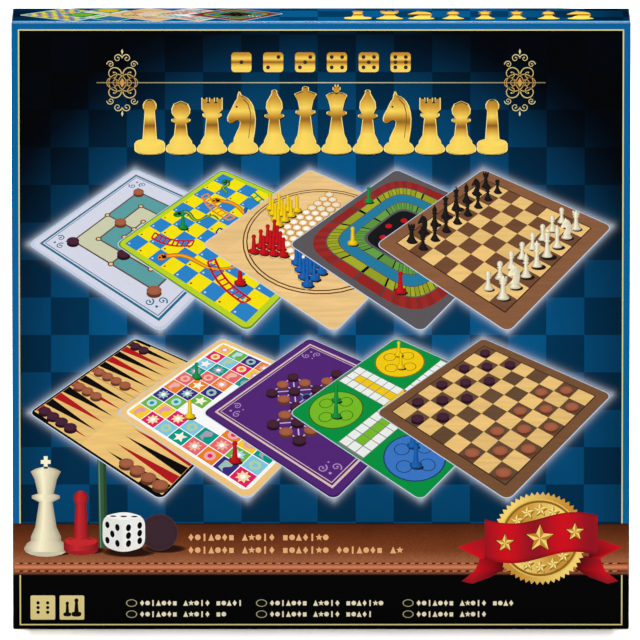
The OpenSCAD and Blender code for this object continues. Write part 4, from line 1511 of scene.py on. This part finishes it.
def top_wall():
    sheet = Print(TOP)
    for i, name in enumerate(("snakes", "cross", "star", "goose", "race")):
        small_board(sheet, name, -151 + 25 * i, 25.5, 1.42)
        sheet.up()
    sheet.dim(0.7)
    for i, kind in enumerate("MRNBQKBN"):
        chessman(sheet, 22 + 19 * i, 10, 29, kind, gilt)
    sheet.build("lid_top_print", "lid", "lid_print", TOP_INK, TOP_WOOD_INK)


def side_wall(name, place, boards):
    sheet = Print(place)
    leather_band(sheet, -23.6, 23.6)
    for i, board in enumerate(boards):
        sheet.up()
        small_board(sheet, board, 0, 106 + 88 * i, 1.02)
    sheet.up()
    for i, kind in enumerate("QNK"):
        chessman(sheet, 0, 132 + 88 * i, 36, kind, gilt)
    for z in (15.9, 8.6):
        ornament_row(sheet, -20, 20, z, 3.1, CREAM)
    sheet.build(name, "lid", "lid_print", INK, WOOD_INK)


def bottom_wall():
    sheet = Print(BOTTOM)
    for z in (21, 29):
        ornament_row(sheet, -150, 150, z, 3.6, rgb(150, 146, 120))
    sheet.build("lid_bottom_print", "lid", "lid_print", INK)


def back_panel():
    """All ten boards in two rows, with gold work above and the leather below."""
    sheet = Print(BACK)
    leather_band(sheet, -180.7, 180.7)
    border(sheet, -177.6, 177.6, 6.0, 362.6, 1.1, gilded(-200, 520))
    for side in (-1, 1):
        ornament(sheet, side * 118, 322)
    sheet.strip(-134, 134, 321.6, 322.4, gilded(320, 325))
    for i in range(6):
        sheet.up()
        gold_die(sheet, i, 336, 328, 343)
    for i, kind in enumerate("RNBQKBNR"):
        chessman(sheet, (i - 3.5) * 19, 284, 29 if kind == "R" else 33, kind, gilt)
    for i, name in enumerate(BOARDS):
        pen = tile(sheet, -139 + 69.5 * (i % 5), 236 - 84 * (i // 5), 62)
        sheet.up()
        pen.panel(-1.6, CORNER + 1.6, rgb(226, 238, 248))
        BOARDS[name](pen)
        sheet.layer = 10
    for z in (58, 50):
        ornament_row(sheet, -134, 134, z, 4.6, rgb(240, 178, 122))
    for z in (17, 10):
        ornament_row(sheet, -134, 134, z, 3.1, CREAM)
    sheet.build("base_back_print", "base", "base_print", INK, WOOD_INK)


# What lies in the box

BOARD_FACES = (("chess", "mill"), ("star", "backgammon"), ("snakes", "cross"), ("peg", "goose"),
               ("draughts", "race"))


def play_boards():
    """Both faces of the five play boards."""
    for k, faces in enumerate(BOARD_FACES, 1):
        low, high = box_mm(f"board_prints_{k}")
        side = high[0] - low[0]
        sheets = ((plane((low[0], low[1], low[2]), RIGHT, UP), "front"),
                  (plane((high[0], high[1], low[2]), LEFT, UP), "back"))
        for name, (place, where) in zip(faces, sheets):
            sheet = Print(place)
            BOARDS[name](Pen(sheet, ((0, 0), (side, 0), (side, side), (0, side))))
            sheet.build(f"board_{k}_{where}", f"board_{k}", f"print_{k}", INK, WOOD_INK)


def booklet_front():
    """The booklet's front: a blue ground with gold work and one board."""
    low, high = box_mm("booklet_cover")
    sheet = Print(plane((0, low[1], low[2]), RIGHT, UP))
    half, tall = high[0], high[2] - low[2]
    border(sheet, 4 - half, half - 4, 4, tall - 4, 0.9, gilded(-100, 300))
    ornament(sheet, 0, tall - 38, 44)
    for i, kind in enumerate("RNBQKB"):
        chessman(sheet, (i - 2.5) * 19, 20, 32, kind, gilt)
    sheet.up()
    pen = tilted(sheet, 0, 102, COVER_CORNERS, 0.78)
    pen.panel(-1.5, CORNER + 1.5, rgb(226, 238, 248))
    BOARDS["draughts"](pen)
    set_out(pen, DRAUGHTS_SET)
    sheet.build("booklet_front", "booklet", "booklet_print", INK, WOOD_INK)


COAT = 0.02


def dice_pips():
    """Black paint in the hollow pips, a thin coat over the hollows' own faces."""
    low, high = box_mm("dice")
    edge = high[2] - low[2]
    pitch = (high[0] - low[0] - edge) / 2
    mid = [(a + b) / 2 for a, b in zip(low, high)]
    data = NODES["dice"].data
    points = [[c / MM for c in vertex.co] for vertex in data.vertices]
    numbers = {}
    spots = []
    faces = []
    for face in data.polygons:
        centre = [sum(c) / len(face.vertices) for c in zip(*(points[i] for i in face.vertices))]
        near = (mid[0] + pitch * round((centre[0] - mid[0]) / pitch),
                mid[1] + math.copysign(pitch / 2, centre[1] - mid[1]), mid[2])
        local = [c - n for c, n in zip(centre, near)]
        on_side = max(abs(c) for c in local) > edge / 2 - 0.004
        if on_side or math.hypot(*local) > edge * 0.672:
            continue
        loop = []
        for i in face.vertices:
            key = tuple(round(c, 4) for c in points[i])
            if key not in numbers:
                numbers[key] = len(spots)
                spots.append([(c + n * COAT) * MM for c, n in zip(points[i], face.normal)])
            loop.append(numbers[key])
        if len(set(loop)) > 2:
            faces.append(loop)
    mesh = new_mesh("dice_pips", spots, faces, [make_polished("pip_paint", rgb(20, 19, 20), 0.3)])
    add_piece("dice_pips", mesh, "dice", "die_plastic")


# The knights, in mm from the middle of the foot and its underside: the foot's outline as
# (radius, height), and the head's from its side, with the nose towards -X

KNIGHT_FOOT = ((0, 0), (9.8, 0), (10.3, 0.6), (10.5, 1.8), (10.5, 3.4), (10.1, 4.5), (9.0, 5.0),
               (8.2, 5.2), (8.5, 5.9), (8.5, 6.8), (8.0, 7.5), (0, 7.5))
HORSE_SIDE = ((-5.8, 6.25), (-5.2, 11.3), (-3.4, 15.6), (-1.9, 19.6), (-1.4, 23.0), (-2.2, 25.7),
              (-4.2, 25.4), (-6.1, 24.7), (-7.6, 25.5), (-7.9, 27.0), (-6.8, 27.7), (-8.3, 28.4),
              (-8.5, 30.0), (-7.4, 33.0), (-5.4, 36.6), (-3.6, 39.6), (-2.4, 42.6), (-1.2, 44.0),
              (0.6, 43.9), (3.4, 42.2), (5.2, 39.8), (6.5, 36.2), (7.4, 32.2), (8.0, 28.0),
              (8.4, 23.6), (8.5, 18.8), (8.1, 14.6), (7.2, 10.4), (7.1, 6.25))
MANE_START, MANE_END = 18, 26
# Along the middle of the head: place from its side, and half the thickness there
HORSE_SPINE = ((0.7, 6.25, 5.9), (1.4, 11.0, 5.8), (2.8, 18.0, 5.4), (3.2, 25.0, 4.8),
               (1.4, 31.8, 4.2), (-5.4, 28.8, 2.7))
HORSE_TURNS = (-80, -62, -45, -30, -16, 0, 16, 30, 45, 62, 80)
EAR = ((1.5, 0), (1.3, 2.4), (0.8, 4.4), (0.05, 5.8))
EYE = ((0.9, 0), (0.8, 0.4), (0.5, 0.65), (0.05, 0.72))


def smoothed(points, i, t):
    """A place between the points i and i + 1 of a closed outline, on a smooth curve."""
    a, b, c, d = (points[(i + k - 1) % len(points)] for k in range(4))
    return [(2 * q + (r - p) * t + (2 * p - 5 * q + 4 * r - s) * t * t
             + (3 * q - p - 3 * r + s) * t ** 3) / 2 for p, q, r, s in zip(a, b, c, d)]


def on_spine(x, z):
    """The spine's nearest point to a place."""
    found = [blend(a, b, along(x, z, a, b)) for a, b in zip(HORSE_SPINE, HORSE_SPINE[1:])]
    return min(found, key=lambda point: math.dist((x, z), point[:2]))


class Form:
    """Points and faces of a solid, in mm."""

    def __init__(self):
        self.points = []
        self.faces = []

    def loft(self, rings):
        """Joins closed rings of points into a skin, and closes both ends."""
        rows = []
        for points in rings:
            rows.append(list(range(len(self.points), len(self.points) + len(points))))
            self.points += points
        for lower, upper in zip(rows, rows[1:]):
            self.faces += quads(lower, upper)
        self.faces += [rows[0], rows[-1]]

    def lathe(self, outline, place, count):
        """A round form. A function puts each of its points, given upright, in its place."""
        turns = [math.tau * i / count for i in range(count)]
        self.loft([[place(r * math.cos(t), r * math.sin(t), h) for t in turns]
                   for r, h in outline])

    def build(self, name, places, material):
        """A mesh of one copy of the form at each place, with its faces turned outwards."""
        shape = bmesh.new()
        for place in places:
            spots = [shape.verts.new([(c + p) * MM for c, p in zip(point, place)])
                     for point in self.points]
            for face in self.faces:
                shape.faces.new([spots[i] for i in face])
        bmesh.ops.remove_doubles(shape, verts=shape.verts[:], dist=0.001 * MM)
        bmesh.ops.recalc_face_normals(shape, faces=shape.faces[:])
        mesh = bpy.data.meshes.new(name)
        shape.to_mesh(mesh)
        shape.free()
        mesh.shade_smooth()
        mesh.set_sharp_from_angle(angle=math.radians(42))
        mesh.materials.append(material)
        return mesh


def horse_head(form):
    """The head: the side's outline drawn in towards the spine as the thickness grows."""
    outline = []
    for i in range(len(HORSE_SIDE)):
        for step in range(3):
            x, z = smoothed(HORSE_SIDE, i, step / 3)
            middle = on_spine(x, z)
            curl = 0.9 if MANE_START <= i < MANE_END and step == 1 else 1.0
            outline.append(((x - middle[0]) * curl, (z - middle[1]) * curl, middle))
    rings = []
    for turn_to in HORSE_TURNS:
        across, out = math.cos(math.radians(turn_to)), math.sin(math.radians(turn_to))
        out = math.copysign(abs(out) ** 0.8, out)
        rings.append([(x + a * across, half * out, z + b * across)
                      for a, b, (x, z, half) in outline])
    form.loft(rings)


def knights(finishes):
    """The four knights, each in the place of its plain form."""
    form = Form()
    form.lathe(KNIGHT_FOOT, lambda x, y, h: (x, y, h), 40)
    horse_head(form)
    for side in (-1, 1):
        form.lathe(EAR, lambda x, y, h: (x - 0.7 - 0.17 * h, side * (1.7 + 0.04 * h) + 0.7 * y,
                                         42.2 + h), 10)
        form.lathe(EYE, lambda x, y, h: (x - 2.9, side * (1.95 + h), 36.2 + y), 12)
    for colour, slot in (("white", "ivory_plastic"), ("black", "ebony_plastic")):
        node = f"{colour}_knights"
        low, high = box_mm(node)
        middle = (low[0] + high[0]) / 2
        xs = [vertex.co[0] / MM for vertex in NODES[node].data.vertices]
        places = [((min(mine) + max(mine)) / 2, (low[1] + high[1]) / 2, low[2])
                  for mine in ([x for x in xs if x < middle], [x for x in xs if x > middle])]
        mesh = form.build(f"{colour}_knight_forms", places, finishes[slot])
        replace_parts(add_piece(f"{colour}_knight_forms", mesh, "chessmen", slot), node)


PAINTS = {"red": RED, "yellow": YELLOW, "green": GREEN, "blue": BLUE, "ebony": rgb(28, 26, 26),
          "ivory": rgb(238, 232, 212)}
PRINT_RIMS = (rgb(128, 84, 50), OAK, rgb(250, 240, 190), PURPLE, rgb(112, 66, 38))


def make_finishes():
    """The material of each slot that carried-over nodes use."""
    board = make_greyboard()
    finishes = {"greyboard": board, "board_core": board, "staple_wire": make_steel()}
    cards = [("paper_tape", rgb(222, 208, 176)), ("insert_card", rgb(28, 66, 110)),
             ("page_paper", rgb(240, 238, 228)), ("booklet_print", CHECK_DARK, 0.4)]
    cards += [(f"print_{k}", rim, 0.45) for k, rim in enumerate(PRINT_RIMS, 1)]
    for name, *look in cards:
        finishes[name] = make_card(name, *look)
    for name, *look in (("ivory_plastic", rgb(236, 226, 196)), ("ebony_plastic", rgb(24, 22, 23)),
                        ("light_draught_plastic", rgb(164, 84, 52), 0.2, 0.14),
                        ("dark_draught_plastic", rgb(54, 32, 40), 0.2, 0.14),
                        ("die_plastic", rgb(244, 242, 232))):
        finishes[name] = make_polished(name, *look)
    for name, colour in PAINTS.items():
        for kind, along in (("pawn", (1.0, 1.0, 0.12)), ("stick", (0.12, 1.0, 1.0))):
            slot = f"{name}_{kind}_wood"
            finishes[slot] = make_lacquered(slot, colour, along)
    return finishes


def finish_nodes():
    """Gives each carried-over node the finish of its material slot."""
    finishes = make_finishes()
    for node in NODES.values():
        for slot in node.material_slots:
            slot.material = finishes.get(slot.material.name, slot.material)
    return finishes


# Floor, light and camera

LENS = 1000.0
CAMERA_FAR = 10.64
CAMERA_TILT = 10.5
AIM_X = -0.6
AIM_Z = 189.0
WORLD_LEVEL = 0.32
FLOOR_LEVEL = 0.82
FLOOR_SEEN = 1.46
# How much lighter the camera sees the floor at the box's sides: painted light that hides the box's
# shadow there
BESIDE_PAINTED_LIGHT = 2.3
FLOOR_REACH = 30.0


def make_floor():
    """A pale floor. The camera and reflections see it as white, but for the object's shadow,
    which shows before and behind the object and not at its sides: there the camera sees the
    floor lighter, a painted light that takes out the shadow."""
    tree = Tree("floor", roughness=0.9, specular=0.0)
    camera = tree.add("LightPath").outputs["Is Camera Ray"]
    aside = tree.math("ABSOLUTE", tree.add("SeparateXYZ", {"Vector": tree.place()}).outputs["X"])
    # Painted light: towards the box's sides the floor is lighter for camera rays, which takes out
    # the box's shadow there
    beside = tree.add("MapRange", {"Value": aside, "From Min": (HALF_W - 11) * MM,
                                   "From Max": (HALF_W - 3) * MM, "To Min": 1.0,
                                   "To Max": BESIDE_PAINTED_LIGHT}).outputs[0]
    level = tree.math("MULTIPLY", tree.spread(tree.seen(), FLOOR_LEVEL, FLOOR_SEEN),
                      tree.math("POWER", beside, camera))
    grain = tree.spread(tree.noise(14.0, 2.0), 0.99, 1.01)
    tree.colour(tree.tint(WHITE, tree.math("MULTIPLY", grain, level)))
    corners = [(a * FLOOR_REACH, b * FLOOR_REACH, 0) for a, b in QUARTERS]
    put("floor", new_mesh("floor", corners, [(0, 1, 2, 3)], [tree.material]))


def light_world():
    """An even light from all round, which the camera sees as white."""
    world = bpy.data.worlds.new("studio")
    bpy.context.scene.world = world
    tree = Nodes(world)
    light = tree.nodes["Background"].inputs
    light["Color"].default_value = WHITE
    tree.set(light["Strength"], tree.spread(tree.seen(), WORLD_LEVEL, 1.0))


def lamp(name, place, target, size, level):
    """A square lamp. Its level is the share of a white surface facing it that it lights."""
    reach = Vector(target) - Vector(place)
    data = bpy.data.lights.new(name, "AREA")
    data.size = size
    data.energy = level * math.pi ** 2 * reach.length_squared
    light = put(name, data)
    light.location = place
    light.rotation_euler = reach.to_track_quat("-Z", "Y").to_euler()


def set_camera():
    """The photograph's view: from far off, a little above the box's middle."""
    data = bpy.data.cameras.new("camera")
    data.lens = LENS
    data.sensor_width = 36.0
    camera = put("camera", data)
    target = Vector((AIM_X, LID_LOW[1], AIM_Z)) * MM
    tilt = math.radians(CAMERA_TILT)
    camera.location = target + Vector((0, -math.cos(tilt), math.sin(tilt))) * CAMERA_FAR
    camera.rotation_euler = (math.pi / 2 - tilt, 0, 0)
    bpy.context.scene.camera = camera


set_camera()
make_floor()
light_world()
lamp("key", (-0.4, -3.6, 1.2), (0, 0, 0.18), 2.0, 0.42)
lamp("back", (0.2, 2.6, 3.2), (0, 0, 0.18), 1.6, 0.35)
lamp("overhead", (0, 0.187, 5.0), (0, 0, 0), 0.44, 0.5)

INK = make_ink()
WOOD_INK = make_wood_ink()
TOP_INK = make_ink("matt_ink", 0.0)
TOP_WOOD_INK = make_wood_ink("matt_timber_print", 0.0)
GILDING = make_ink("gilding", 0.12, 0.34, 0.04)
BANDS = (make_ground("checker_print", GLOSS), make_leather(),
         make_card("foot_print", rgb(3, 3, 4), 0.45, GLOSS),
         make_card("edge_print", BLUE_EDGE, 0.45, GLOSS),
         make_ground("matt_checker_print", 0.0), make_card("matt_edge_print", BLUE_EDGE, 0.45, 0.0),
         make_card("fold_print", BLUE_EDGE, 0.3, 0.5))

wrap_shell("lid_paper", "lid_wrap", "lid_print", "lid", FRONT, HALF_W, 0.0, BOX_H,
           LID_HIGH[1] - LID_LOW[1], LID_CELL, cover_glow, BANDS)
wrap_shell("base_paper", "base_wrap", "base_print", "base", BACK, BASE_HIGH[0], BASE_LOW[2],
           BASE_HIGH[2], BASE_HIGH[1] - BASE_LOW[1], BASE_CELL, lambda u, v: 0.0, BANDS)
cover_small_print()
cover_boards()
cover_gold()
band_pieces()
seal()
top_wall()
side_wall("lid_left_print", LEFT_WALL, ("mill", "star", "chess"))
side_wall("lid_right_print", RIGHT_WALL, ("draughts", "peg", "snakes"))
bottom_wall()
back_panel()
play_boards()
booklet_front()
dice_pips()
knights(finish_nodes())

bpy.context.scene.view_settings.view_transform = "Standard"
bpy.context.view_layer.update()
